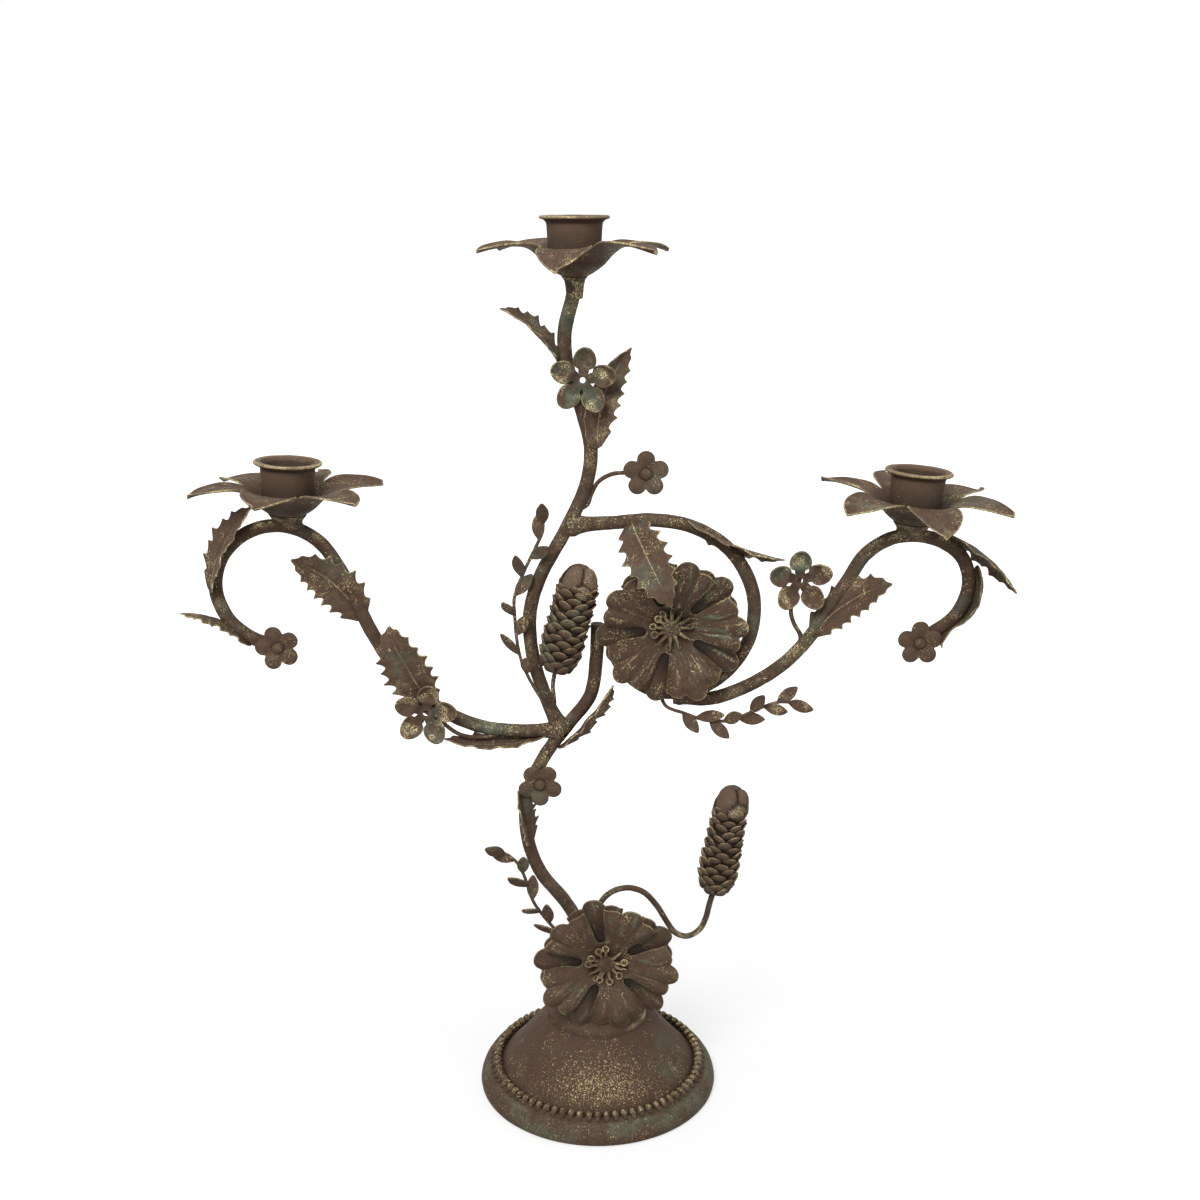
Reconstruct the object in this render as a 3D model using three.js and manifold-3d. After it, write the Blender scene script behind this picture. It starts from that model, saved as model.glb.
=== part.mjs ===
// A three-armed wrought-iron candelabra: bent rods that grow like a vine from a round beaded
// base, with pressed leaves, flowers, sprigs and two cones, and a petalled dish and cup on
// each end. Units are millimetres, +Z is up, the front faces -Y, and the origin is the
// centre of the base where it stands.
import * as THREE from 'three';
import { mergeVertices } from 'three/addons/utils/BufferGeometryUtils.js';
import Module from 'manifold-3d';

const wasm = await Module();
wasm.setup();

// Stock: rods, wires and sheet, and the clearance left where two pieces touch
const ROD_D = 7.2;
const CONE_WIRE_D = 3.2;
const FLOWER_WIRE_D = 2.3;
const SPRIG_WIRE_D = 1.8;
const POST_D = 4;
const LEAF_SHEET = 0.9;
const PETAL_SHEET = 1;
const FIT = 0.3;
const ROD_STEP = 11;
const WIRE_STEP = 6.5;

// Base: a hollow spun dome with a rounded lip, and a ring of beads on its shoulder
const BASE_R = 66.5;
const DOME_H = 49;
const DOME_WALL = 1.6;
const BEAD_H = 3.8;
const BEAD_W = 4.5;
const BEAD_COUNT = 76;
const NUT_FLATS = 12;
const NUT_H = 5.5;
const NUT_FLANGE_R = 8;
const NUT_FLANGE_H = 1.4;
const STEM_TAIL = 13;

// Rods: how far each one reaches sideways and rises
const STEM_BOW = 39.5;
const STEM_RISE = 221;
const CENTRE_BOW = 17;
const CENTRE_RISE = 237;
const LEFT_REACH = 181;
const LEFT_RISE = 111.6;
const RIGHT_REACH = 151.7;
const RIGHT_RISE = 86;
const RING_REACH = 97.7;
const RING_DROP = 93.6;

// Candle holders: a cup for a 22 mm dinner candle on a six-petalled dish
const CANDLE_D = 22;
const CUP_PLAY = 1.4;
const CUP_FLARE = 1.3;
const CUP_WALL = 1;
const CUP_H = 22.8;
const RIM_OVERHANG = 3.5;
const RIM_ROLL_D = 1.8;
const DISH_R = 50;
const DISH_H = 16.4;
const RIVET_HEAD_R = 3.4;
const RIVET_HEAD_H = 1.5;
const RIVET_SHANK_R = 1.6;
const DIMPLE_DEPTH = 0.45;
const COLLAR_H = 9;
const COLLAR_TOP_W = 3.6;

// Leaves and flowers
const LEAF_L = 50;
const LEAF_W = 27;
const BIG_FLOWER_R = 40;
const BIG_FLOWER_RISE = 7;
const BIG_FLOWER_DISC_R = 9;
const PETAL_CROWN = 1.2;
const PETAL_CREASE = 0.4;
const STAMEN_SHANK_R = 2;
const STAMEN_L = 9;
const STAMEN_D = 1.7;
const STAMEN_TIP_D = 3.4;
const STAMEN_HUB_R = 4.6;
const STAMEN_HUB_H = 2.2;
const STAMEN_COUNT = 12;
const FLAT_FLOWER_R = 12;
const CUPPED_FLOWER_R = 16.8;
const CUPPED_FLOWER_RISE = 5;
const CUPPED_FLOWER_DISC_R = 4.6;
const CUPPED_HOLE_R = 1.4;
const LOWER_FLOWER_STANDOFF = 14;
const LOWER_FLOWER_OFFSET = 9;
const LEAFLET_L = 14;
const LEAFLET_W = 6;

// Cones
const CONE_L = 58;
const LOWER_CONE_L = 61;
const CONE_R = 12.2;
const CONE_TIERS = 14;
const CONE_SCALES = 6;
const CONE_STANDOFF = 8;

const UP = new THREE.Vector3(0, 0, 1);
const FRONT = new THREE.Vector3(0, -1, 0);
const ROD_SIDES = 8;
const WIRE_SIDES = 5;
const RIVET_SIDES = 7;
const candelabra = new THREE.Group();

function degrees(angle) {
  return THREE.MathUtils.degToRad(angle);
}

function paint(color, roughness, metalness) {
  return new THREE.MeshStandardMaterial({ color, roughness, metalness });
}

function add(name, geometry, material, parent = candelabra) {
  const mesh = new THREE.Mesh(geometry, material);
  mesh.name = name;
  parent.add(mesh);
  return mesh;
}

const ironPaint = () => paint(0x5a4a3e, 0.72, 0.35);
const leafPaint = () => paint(0x66574a, 0.74, 0.3);
const goldPaint = () => paint(0x8a7a58, 0.68, 0.4);

// A closed geometry as a solid, with its doubled vertices merged
function solidOf(geometry) {
  const bare = geometry.clone();
  bare.deleteAttribute('normal');
  bare.deleteAttribute('uv');
  const merged = mergeVertices(bare);
  return new wasm.Manifold(new wasm.Mesh({
    numProp: 3,
    vertProperties: new Float32Array(merged.attributes.position.array),
    triVerts: new Uint32Array(merged.index.array),
  }));
}

function geometryOf(body) {
  const mesh = body.getMesh();
  const geometry = new THREE.BufferGeometry();
  geometry.setAttribute('position', new THREE.BufferAttribute(mesh.vertProperties, mesh.numProp));
  geometry.setIndex(new THREE.BufferAttribute(mesh.triVerts, 1));
  geometry.computeVertexNormals();
  return geometry;
}

// What is left of a piece beside its neighbours: the largest body after the cuts
function trimmed(geometry, cutters) {
  const cut = cutters.reduce((body, cutter) => body.subtract(cutter), solidOf(geometry));
  const bodies = cut.decompose().sort((one, other) => other.volume() - one.volume());
  return geometryOf(bodies[0]);
}

// A closed geometry from a list of points and a list of triangles
function closedGeometry(points, triangles) {
  const geometry = new THREE.BufferGeometry().setFromPoints(points);
  geometry.setIndex(triangles.flat());
  geometry.computeVertexNormals();
  return geometry;
}

// The height of a line through [position, height] pairs, which are shares
function heightAt(shares, position) {
  const next = shares.findIndex(([at]) => at >= position);
  if (next === -1) return shares[shares.length - 1][1];
  if (next === 0) return shares[0][1];
  const [fromAt, fromHeight] = shares[next - 1];
  const [toAt, toHeight] = shares[next];
  return THREE.MathUtils.mapLinear(position, fromAt, toAt, fromHeight, toHeight);
}

// A smooth route from a start, through shares of its reach sideways, its rise and its depth
function route(start, reach, rise, routeShares, depth = 0) {
  return new THREE.CatmullRomCurve3(routeShares.map(([x, z, y = 0]) => (
    new THREE.Vector3(start.x + x * reach, start.y + y * depth, start.z + z * rise)
  )));
}

function tube(curve, diameter, sides, step) {
  const circle = new THREE.EllipseCurve(0, 0, diameter / 2, diameter / 2);
  const section = new THREE.Shape(circle.getPoints(sides).slice(0, sides));
  const steps = Math.max(2, Math.round(curve.getLength() / step));
  return new THREE.ExtrudeGeometry(section, { steps, extrudePath: curve });
}

function rod(curve) {
  return tube(curve, ROD_D, ROD_SIDES, ROD_STEP);
}

// The room that a rod takes up, with the clearance round it
function rodRoom(curve) {
  return solidOf(tube(curve, ROD_D + 2 * FIT, ROD_SIDES, ROD_STEP));
}

function lathe(profile, segments) {
  const points = profile.map(([radius, height]) => new THREE.Vector2(radius, height));
  const turned = new THREE.LatheGeometry(points, segments);
  turned.rotateX(Math.PI / 2);
  return turned;
}

// Base

// The dome's outer face from the stem hole to the foot, in shares of its radius and height
const DOME_SHARES = [
  [0.15, 0.995], [0.26, 0.98], [0.34, 0.95], [0.395, 0.905], [0.408, 0.868], [0.43, 0.832],
  [0.5, 0.752], [0.61, 0.57], [0.72, 0.385], [0.8, 0.272], [0.825, 0.235], [0.9, 0.235],
  [0.96, 0.18], [0.995, 0.085], [1, 0.03],
];
const DOME_SEGMENTS = 22;
const FOOT_RIM_SHARE = 0.98;
const BEAD_SEAT_SHARE = 0.235;
const BEAD_CENTRE_SHARE = 0.863;
const stemHoleR = ROD_D / 2 + FIT;

function domeGeometry() {
  const footR = FOOT_RIM_SHARE * BASE_R;
  const outer = [[stemHoleR, DOME_H], ...DOME_SHARES.map(([r, z]) => [r * BASE_R, z * DOME_H])];
  const inner = [];
  for (let corner = 1; corner < outer.length - 1; corner += 2) {
    const [before, at, after] = outer.slice(corner - 1, corner + 2);
    const slope = new THREE.Vector2(after[0] - before[0], after[1] - before[1]).normalize();
    inner.unshift([at[0] + slope.y * DOME_WALL, at[1] - slope.x * DOME_WALL]);
  }
  const foot = [[footR, 0], [footR - DOME_WALL, 0]];
  const ceiling = [[stemHoleR, DOME_H - DOME_WALL], outer[0]];
  const profile = [...outer, ...foot, ...inner, ...ceiling];
  return lathe(profile.reverse(), DOME_SEGMENTS);
}

// Beads run round as a ring that swells at each bead and narrows between
function beadRingGeometry() {
  const centreR = BEAD_CENTRE_SHARE * BASE_R;
  const floor = BEAD_SEAT_SHARE * DOME_H + FIT;
  const sectionShares = [[-0.48, 0], [0.48, 0], [0.4, 0.7], [-0.36, 1]];
  const neckShare = 0.6;
  const columns = 2 * BEAD_COUNT;
  const points = [];
  const triangles = [];
  const corners = sectionShares.length;
  for (let column = 0; column < columns; column += 1) {
    const angle = (2 * Math.PI * column) / columns;
    const swell = column % 2 ? neckShare : 1;
    sectionShares.forEach(([across, up], corner) => {
      const radius = centreR + across * BEAD_W * swell;
      points.push(new THREE.Vector3(
        radius * Math.cos(angle), radius * Math.sin(angle), floor + up * BEAD_H * swell,
      ));
      const next = (corner + 1) % corners;
      const here = column * corners;
      const there = ((column + 1) % columns) * corners;
      triangles.push([here + corner, here + next, there + next]);
      triangles.push([here + corner, there + next, there + corner]);
    });
  }
  return closedGeometry(points, triangles.map(([a, b, c]) => [a, c, b]));
}

// A flanged nut under the dome's ceiling, round the stem's tail
function nutGeometry() {
  const top = DOME_SHARES[0][1] * DOME_H - DOME_WALL - FIT;
  const shoulder = top - NUT_FLANGE_H;
  const bottom = shoulder - NUT_H;
  const cornerR = NUT_FLATS / Math.sqrt(3);
  const hexSides = 6;
  const flangeSides = 12;
  const drum = (radius, from, to, sides) => (
    lathe([[0, from], [radius, from], [radius, to], [0, to]], sides)
  );
  const hexagon = drum(cornerR, bottom, shoulder + FIT, hexSides);
  const flange = drum(NUT_FLANGE_R, shoulder, top, flangeSides);
  const bore = drum(stemHoleR, bottom - FIT, top + FIT, flangeSides);
  return geometryOf(solidOf(hexagon).add(solidOf(flange)).subtract(solidOf(bore)));
}

function addBase() {
  add('base_dome', domeGeometry(), ironPaint());
  add('bead_ring', beadRingGeometry(), goldPaint());
  add('stem_nut', nutGeometry(), ironPaint());
}

// Rods

const STEM_SHARES = [
  [0, 0], [0, 0.05], [-0.09, 0.145], [-0.43, 0.267], [-0.8, 0.357], [-0.98, 0.457],
  [-0.96, 0.566], [-0.72, 0.665], [-0.38, 0.751], [-0.1, 0.821], [-0.02, 0.914], [0, 1],
];
const CENTRE_SHARES = [
  [0, 0], [-0.42, 0.065], [-0.9, 0.18], [-0.97, 0.28], [-0.64, 0.363], [0.12, 0.464],
  [0.74, 0.561], [0.91, 0.641], [0.66, 0.725], [0.22, 0.82], [0.15, 0.89], [0.42, 0.975], [0.45, 1],
];
const LEFT_SHARES = [
  [0, 0], [-0.13, -0.007], [-0.25, 0.018], [-0.36, 0.1], [-0.469, 0.256], [-0.56, 0.5],
  [-0.627, 0.753], [-0.703, 0.935], [-0.797, 1], [-0.894, 0.972], [-0.973, 0.86],
  [-1, 0.697], [-0.967, 0.547], [-0.896, 0.452], [-0.81, 0.417],
];
const RING_SHARES = [
  [0, 0], [0.232, 0.014], [0.453, 0.029], [0.664, -0.012], [0.866, -0.151], [0.986, -0.391],
  [0.971, -0.654], [0.837, -0.863], [0.642, -0.968], [0.413, -0.938], [0.255, -0.76],
  [0.265, -0.496], [0.446, -0.403], [0.551, -0.572],
];
const RIGHT_SHARES = [
  [0, 0], [0.1, -0.04], [0.224, 0.023], [0.358, 0.166], [0.454, 0.343], [0.52, 0.54],
  [0.584, 0.72], [0.641, 0.881], [0.738, 0.986], [0.867, 0.98], [0.969, 0.867], [1, 0.686],
  [0.962, 0.5], [0.882, 0.384], [0.815, 0.316],
];

// Where each rod is welded on, as a share along the rod that carries it
const CENTRE_START_SHARE = 0.742;
const LEFT_START_SHARE = 0.748;
const RING_START_SHARE = 0.484;
const RIGHT_START_SHARE = 0.645;

const domeTop = new THREE.Vector3(0, 0, DOME_H);
const stem = route(domeTop, STEM_BOW, STEM_RISE, STEM_SHARES);
stem.points.unshift(new THREE.Vector3(0, 0, DOME_H - STEM_TAIL));
const centre = route(stem.getPointAt(CENTRE_START_SHARE), CENTRE_BOW, CENTRE_RISE, CENTRE_SHARES);
const left = route(stem.getPointAt(LEFT_START_SHARE), LEFT_REACH, LEFT_RISE, LEFT_SHARES);
const ring = route(centre.getPointAt(RING_START_SHARE), RING_REACH, RING_DROP, RING_SHARES);
const right = route(ring.getPointAt(RIGHT_START_SHARE), RIGHT_REACH, RIGHT_RISE, RIGHT_SHARES);
const rods = { stem, centre, left, ring, right };
const rooms = Object.fromEntries(Object.entries(rods).map(([name, curve]) => [name, rodRoom(curve)]));

function addRods() {
  add('base_stem', trimmed(rod(stem), [rooms.ring]), ironPaint());
  add('centre_stem', trimmed(rod(centre), [rooms.stem]), ironPaint());
  add('left_arm', trimmed(rod(left), [rooms.stem, rooms.centre]), ironPaint());
  add('scroll_ring', trimmed(rod(ring), [rooms.centre]), ironPaint());
  add('right_arm', trimmed(rod(right), [rooms.ring]), ironPaint());
}

// Wires, each one from the middle of its rod, with its route in shares of its reach, rise and depth

const WIRES = {
  upper_flower_wire: {
    host: 'centre', atShare: 0.525, reach: 36.6, rise: 18, depth: 0, diameter: FLOWER_WIRE_D,
    shares: [[0, 0], [0.14, 0.1], [0.2, 0.4], [0.3, 0.75], [0.48, 0.97], [0.7, 1.02], [1, 1]],
  },
  right_flower_wire: {
    host: 'right', atShare: 0.298, reach: 6, rise: 38, depth: 0, diameter: FLOWER_WIRE_D,
    shares: [[0, 0], [-0.05, 0.16], [-0.7, 0.345], [-1, 0.51], [-0.88, 0.68], [-0.5, 0.85], [-0.3, 1]],
  },
  lower_flower_wire: {
    host: 'left', atShare: 0.098, reach: 44, rise: 13, depth: 5.5, diameter: FLOWER_WIRE_D,
    shares: [[0, 0], [-0.2, -0.22, -0.3], [-0.42, -0.2, -0.7], [-0.6, 0.02, -1],
      [-0.75, 0.4, -1], [-0.88, 0.75, -1], [-1, 1, -1]],
  },
  upper_cone_wire: {
    host: 'centre', atShare: 0.06, reach: 7, rise: 24, depth: CONE_STANDOFF, diameter: FLOWER_WIRE_D,
    shares: [[0, 0], [0.3, 0.15, -0.5], [0.3, 0.4, -0.95], [0.25, 0.65, -1], [0.45, 1, -1]],
  },
  lower_cone_wire: {
    host: 'stem', atShare: 0.21, reach: 68, rise: 32, depth: 6, diameter: CONE_WIRE_D,
    shares: [[0, 0], [0.06, 0.45, -0.7], [0.15, 0.83, -1], [0.24, 0.97, -1], [0.355, 1.01, -1],
      [0.47, 0.92, -1], [0.57, 0.68, -1], [0.655, 0.37, -1], [0.725, 0.16, -1], [0.82, 0.095, -1],
      [0.92, 0.22, -1], [0.97, 0.45, -1], [0.995, 0.69, -1], [1.015, 0.86, -1], [1.03, 0.975, -1]],
  },
};

const wires = {};
for (const [name, wire] of Object.entries(WIRES)) {
  const start = rods[wire.host].getPointAt(wire.atShare);
  wires[name] = route(start, wire.reach, wire.rise, wire.shares, wire.depth);
}

function addWires() {
  for (const [name, { host, diameter }] of Object.entries(WIRES)) {
    const wire = tube(wires[name], diameter, WIRE_SIDES, WIRE_STEP);
    add(name, trimmed(wire, [rooms[host]]), ironPaint());
  }
}

// A sheet of petals, laid out in rings of points round a hole. An outline is a list of
// [share across the petal, share of the radius] from one notch to just before the next.
function petalSheet({ petals, outlineShares, radius, holeR, discR, ringShares, height, sheet }) {
  const rays = [];
  for (let petal = 0; petal < petals; petal += 1) {
    for (const [across, out] of outlineShares) {
      rays.push({ angle: (2 * Math.PI * (petal + across)) / petals, across, petal, reach: out * radius });
    }
  }
  const reaches = [() => holeR, () => discR];
  ringShares.forEach((share) => reaches.push(({ reach }) => discR + share * (reach - discR)));
  const points = [];
  for (const side of [1, 0]) {
    for (const reachOf of reaches) {
      for (const ray of rays) {
        const r = reachOf(ray);
        const z = height(r, ray.across, ray.petal) + side * sheet;
        points.push(new THREE.Vector3(r * Math.cos(ray.angle), r * Math.sin(ray.angle), z));
      }
    }
  }
  const count = rays.length;
  const rings = reaches.length;
  const at = (side, band, ray) => (side * rings + band) * count + (ray % count);
  const triangles = [];
  for (let ray = 0; ray < count; ray += 1) {
    for (let band = 0; band < rings - 1; band += 1) {
      const top = [at(0, band, ray), at(0, band + 1, ray), at(0, band + 1, ray + 1), at(0, band, ray + 1)];
      const under = [at(1, band, ray), at(1, band + 1, ray), at(1, band + 1, ray + 1), at(1, band, ray + 1)];
      triangles.push([top[0], top[1], top[2]], [top[0], top[2], top[3]]);
      triangles.push([under[0], under[2], under[1]], [under[0], under[3], under[2]]);
    }
    const last = rings - 1;
    triangles.push([at(0, last, ray), at(1, last, ray), at(1, last, ray + 1)]);
    triangles.push([at(0, last, ray), at(1, last, ray + 1), at(0, last, ray + 1)]);
    triangles.push([at(0, 0, ray), at(1, 0, ray + 1), at(1, 0, ray)]);
    triangles.push([at(0, 0, ray), at(0, 0, ray + 1), at(1, 0, ray + 1)]);
  }
  return closedGeometry(points, triangles);
}

// Candle holders

// The dish's underside from its middle to a petal's tip, in shares of its radius and height
const DISH_HEIGHT_SHARES = [
  [0.038, 0], [0.103, 0.03], [0.291, 0.4], [0.404, 0.79], [0.536, 0.97], [0.677, 1], [1, 0.77],
];
const DISH_OUTLINE_SHARES = [
  [-0.5, 0.46], [-0.4, 0.67], [-0.2, 0.88], [0, 1], [0.2, 0.88], [0.4, 0.67],
];
const DISH_PETALS = 6;
const CUP_SEGMENTS = 16;
const cupFloorR = (CANDLE_D + CUP_PLAY) / 2;
const cupMouthR = cupFloorR + CUP_FLARE;
const dishHeight = (r) => DISH_H * heightAt(DISH_HEIGHT_SHARES, r / DISH_R);
const cupFloor = dishHeight(cupFloorR + CUP_WALL) + PETAL_SHEET + FIT;
const shankHoleR = RIVET_SHANK_R + FIT;
const dimpleR = RIVET_HEAD_R + 2 * FIT;

// How far each petal's tip is bent up or down, in shares of the dish's height
const TOP_TIP_SHARES = [0, 0, 0, 0.02, -0.44, 0.03];
const LEFT_TIP_SHARES = [0.27, 0.15, -0.07, -0.04, 0.15, 0.18];
const RIGHT_TIP_SHARES = [0.21, 0.39, 0.33, -0.16, -0.4, 0.02];

function dishGeometry(tipShares) {
  const bend = (r) => Math.max(0, r - cupFloorR - CUP_WALL) / (DISH_R - cupFloorR - CUP_WALL);
  return petalSheet({
    petals: DISH_PETALS,
    outlineShares: DISH_OUTLINE_SHARES,
    radius: DISH_R,
    holeR: shankHoleR,
    discR: cupFloorR + CUP_WALL,
    ringShares: [0.42, 1],
    height: (r, across, petal) => dishHeight(r) + DISH_H * tipShares[petal] * bend(r) ** 2,
    sheet: PETAL_SHEET,
  });
}

// A flared cup with a rolled rim, and a dimple in its floor that takes the rivet's head
function cupGeometry() {
  const rim = cupFloor + CUP_H;
  const dimple = cupFloor + CUP_WALL - DIMPLE_DEPTH;
  const roll = RIM_ROLL_D / 2;
  const rollR = cupMouthR + RIM_OVERHANG;
  return lathe([
    [shankHoleR, cupFloor],
    [cupFloorR + CUP_WALL, cupFloor],
    [cupMouthR + CUP_WALL, rim - roll],
    [rollR, rim - roll],
    [rollR + roll, rim],
    [rollR, rim + roll],
    [cupMouthR + CUP_WALL / 2, rim + roll],
    [cupMouthR, rim - roll],
    [cupFloorR, cupFloor + CUP_WALL],
    [dimpleR, cupFloor + CUP_WALL],
    [dimpleR, dimple],
    [shankHoleR, dimple],
    [shankHoleR, cupFloor],
  ], CUP_SEGMENTS);
}

// A domed rivet whose head rests on a seat and whose shank ends at height zero
function rivetGeometry(headR, headH, shankR, seat) {
  const shoulderShare = 0.72;
  return lathe([
    [0, 0],
    [shankR, 0],
    [shankR, seat],
    [headR, seat],
    [shoulderShare * headR, seat + shoulderShare * headH],
    [0, seat + headH],
  ], RIVET_SIDES);
}

function addCandleHolder(name, seat, tilt, turn, tipShares) {
  const holder = new THREE.Group();
  holder.position.copy(seat);
  holder.rotation.y = degrees(tilt);
  candelabra.add(holder);
  add(`${name}_petal_dish`, dishGeometry(tipShares), leafPaint(), holder).rotation.z = degrees(turn);
  add(`${name}_cup`, cupGeometry(), ironPaint(), holder);
  const floor = cupFloor + CUP_WALL - DIMPLE_DEPTH + FIT;
  const rivet = rivetGeometry(RIVET_HEAD_R, RIVET_HEAD_H, RIVET_SHANK_R, floor);
  add(`${name}_cup_rivet`, rivet, ironPaint(), holder);
}

const LEFT_SEAT_SHARE = 0.643;
const RIGHT_SEAT_SHARE = 0.637;
const LEFT_TILT = 3.6;
const RIGHT_TILT = 4;
const TOP_DISH_TURN = 21;
const LEFT_DISH_TURN = 23;
const RIGHT_DISH_TURN = 37;

// How thick the collar is at its foot and halfway up, in shares of its thickness at the top
const COLLAR_SHARES = [0.2, 0.42];

// The seat of a dish on top of a level stretch of rod, square to the holder's tilted axis
function seatOn(curve, share, tilt) {
  const axis = UP.clone().applyAxisAngle(new THREE.Vector3(0, 1, 0), degrees(tilt));
  return curve.getPointAt(share).addScaledVector(axis, ROD_D / 2 + FIT);
}

function addCandleHolders() {
  const top = centre.getPointAt(1);
  const topSeat = top.clone().addScaledVector(UP, FIT);
  const leftSeat = seatOn(left, LEFT_SEAT_SHARE, LEFT_TILT);
  const rightSeat = seatOn(right, RIGHT_SEAT_SHARE, RIGHT_TILT);
  addCandleHolder('top', topSeat, 0, TOP_DISH_TURN, TOP_TIP_SHARES);
  addCandleHolder('left', leftSeat, LEFT_TILT, LEFT_DISH_TURN, LEFT_TIP_SHARES);
  addCandleHolder('right', rightSeat, RIGHT_TILT, RIGHT_DISH_TURN, RIGHT_TIP_SHARES);
  const collar = lathe([
    [0, -COLLAR_H],
    [ROD_D / 2 + COLLAR_SHARES[0] * COLLAR_TOP_W, -COLLAR_H],
    [ROD_D / 2 + COLLAR_SHARES[1] * COLLAR_TOP_W, -COLLAR_H / 2],
    [ROD_D / 2 + COLLAR_TOP_W, 0],
    [0, 0],
  ], CUP_SEGMENTS);
  collar.translate(top.x, top.y, top.z);
  const rodAndAbove = rodRoom(new THREE.LineCurve3(
    top.clone().addScaledVector(UP, -COLLAR_H),
    top.clone().addScaledVector(UP, COLLAR_H),
  ));
  add('stem_collar', trimmed(collar, [rooms.centre, rodAndAbove]), ironPaint());
}

// Flowers, modelled facing up and turned to face the front

const turnToFront = Math.PI / 2;

function flowerGroup(place) {
  const flower = new THREE.Group();
  flower.position.copy(place);
  flower.rotation.x = turnToFront;
  candelabra.add(flower);
  return flower;
}

const BIG_PETALS = 5;
const BIG_LOBES = 3;
const BIG_OUTLINE_SHARES = [
  [-0.5, 0.39], [-0.44, 0.48], [-0.38, 0.68], [-0.35, 0.86], [-0.26, 0.93], [-0.13, 0.885],
  [0, 1], [0.13, 0.885], [0.26, 0.93], [0.35, 0.86], [0.38, 0.68], [0.44, 0.48],
];
const FRONT_LAYER_SHARE = 0.98;

// Each petal is crowned along its middle and creased between its three lobes. The front layer
// lies clear of the back one, whose crowns stand behind its notches.
function bigLayer(radius, base) {
  const lift = (r) => Math.max(0, (r - BIG_FLOWER_DISC_R) / (BIG_FLOWER_R - BIG_FLOWER_DISC_R));
  return petalSheet({
    petals: BIG_PETALS,
    outlineShares: BIG_OUTLINE_SHARES,
    radius,
    holeR: STAMEN_SHANK_R + FIT,
    discR: BIG_FLOWER_DISC_R,
    ringShares: [1],
    height: (r, across) => base(lift(r)) + lift(r) * (BIG_FLOWER_RISE
      + PETAL_CROWN * Math.cos(2 * Math.PI * across)
      + PETAL_CREASE * Math.cos(BIG_LOBES * 2 * Math.PI * across)),
    sheet: PETAL_SHEET,
  });
}

// A hub on a shank, with clubbed stamens that splay forward all round it
function stamenGeometry() {
  const seat = 2 * PETAL_SHEET + 2 * FIT;
  const hub = lathe([
    [0, 0],
    [STAMEN_SHANK_R, 0],
    [STAMEN_SHANK_R, seat],
    [STAMEN_HUB_R, seat],
    [STAMEN_HUB_R, seat + STAMEN_HUB_H / 2],
    [0, seat + STAMEN_HUB_H],
  ], STAMEN_COUNT);
  const splay = degrees(62);
  const neckShare = 0.58;
  const clubShare = 0.8;
  let body = solidOf(hub);
  for (let stamen = 0; stamen < STAMEN_COUNT; stamen += 1) {
    const club = lathe([
      [0, 0],
      [STAMEN_D / 2, 0],
      [STAMEN_D / 2, neckShare * STAMEN_L],
      [STAMEN_TIP_D / 2, clubShare * STAMEN_L],
      [0, STAMEN_L],
    ], WIRE_SIDES);
    club.rotateY(splay);
    club.translate(STAMEN_HUB_R - STAMEN_D, 0, seat + STAMEN_D);
    club.rotateZ((2 * Math.PI * stamen) / STAMEN_COUNT);
    body = body.add(solidOf(club));
  }
  return geometryOf(body);
}

function addBigFlower(name, place, turn) {
  const flower = flowerGroup(place);
  const back = add(`${name}_back_petals`, bigLayer(BIG_FLOWER_R, () => 0), leafPaint(), flower);
  const clear = PETAL_SHEET + FIT;
  const frontBase = (lift) => clear + 2 * (PETAL_CROWN + PETAL_CREASE) * lift;
  const frontR = FRONT_LAYER_SHARE * BIG_FLOWER_R;
  const front = add(`${name}_front_petals`, bigLayer(frontR, frontBase), leafPaint(), flower);
  back.rotation.z = degrees(turn);
  front.rotation.z = degrees(turn) + Math.PI / BIG_PETALS;
  add(`${name}_stamens`, stamenGeometry(), goldPaint(), flower);
}

function flatFlowerGeometry() {
  const lobeShares = [[-0.5, 0.55], [-0.3, 0.92], [0, 1], [0.3, 0.92]];
  const lobes = 5;
  const points = [];
  for (let lobe = 0; lobe < lobes; lobe += 1) {
    for (const [across, out] of lobeShares) {
      const angle = (2 * Math.PI * (lobe + across)) / lobes + Math.PI / 2;
      const ray = new THREE.Vector2(Math.cos(angle), Math.sin(angle));
      points.push(ray.multiplyScalar(out * FLAT_FLOWER_R));
    }
  }
  const outline = new THREE.Shape(points);
  const hole = new THREE.EllipseCurve(0, 0, shankHoleR, shankHoleR);
  outline.holes.push(new THREE.Path(hole.getPoints(RIVET_SIDES).slice(0, RIVET_SIDES)));
  return new THREE.ExtrudeGeometry(outline, { depth: PETAL_SHEET, bevelEnabled: false });
}

function addFlatFlower(name, place, turn) {
  const flower = flowerGroup(place);
  add(name, flatFlowerGeometry(), leafPaint(), flower).rotation.z = degrees(turn);
  const headShare = 0.27;
  const headR = headShare * FLAT_FLOWER_R;
  const rivet = rivetGeometry(headR, RIVET_HEAD_H, RIVET_SHANK_R, PETAL_SHEET + FIT);
  add(`${name}_rivet`, rivet, goldPaint(), flower);
}

const CUPPED_OUTLINE_SHARES = [
  [-0.5, 0.3], [-0.4, 0.64], [-0.33, 0.8], [-0.17, 0.95], [0, 1], [0.17, 0.95], [0.33, 0.8], [0.4, 0.64],
];

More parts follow.
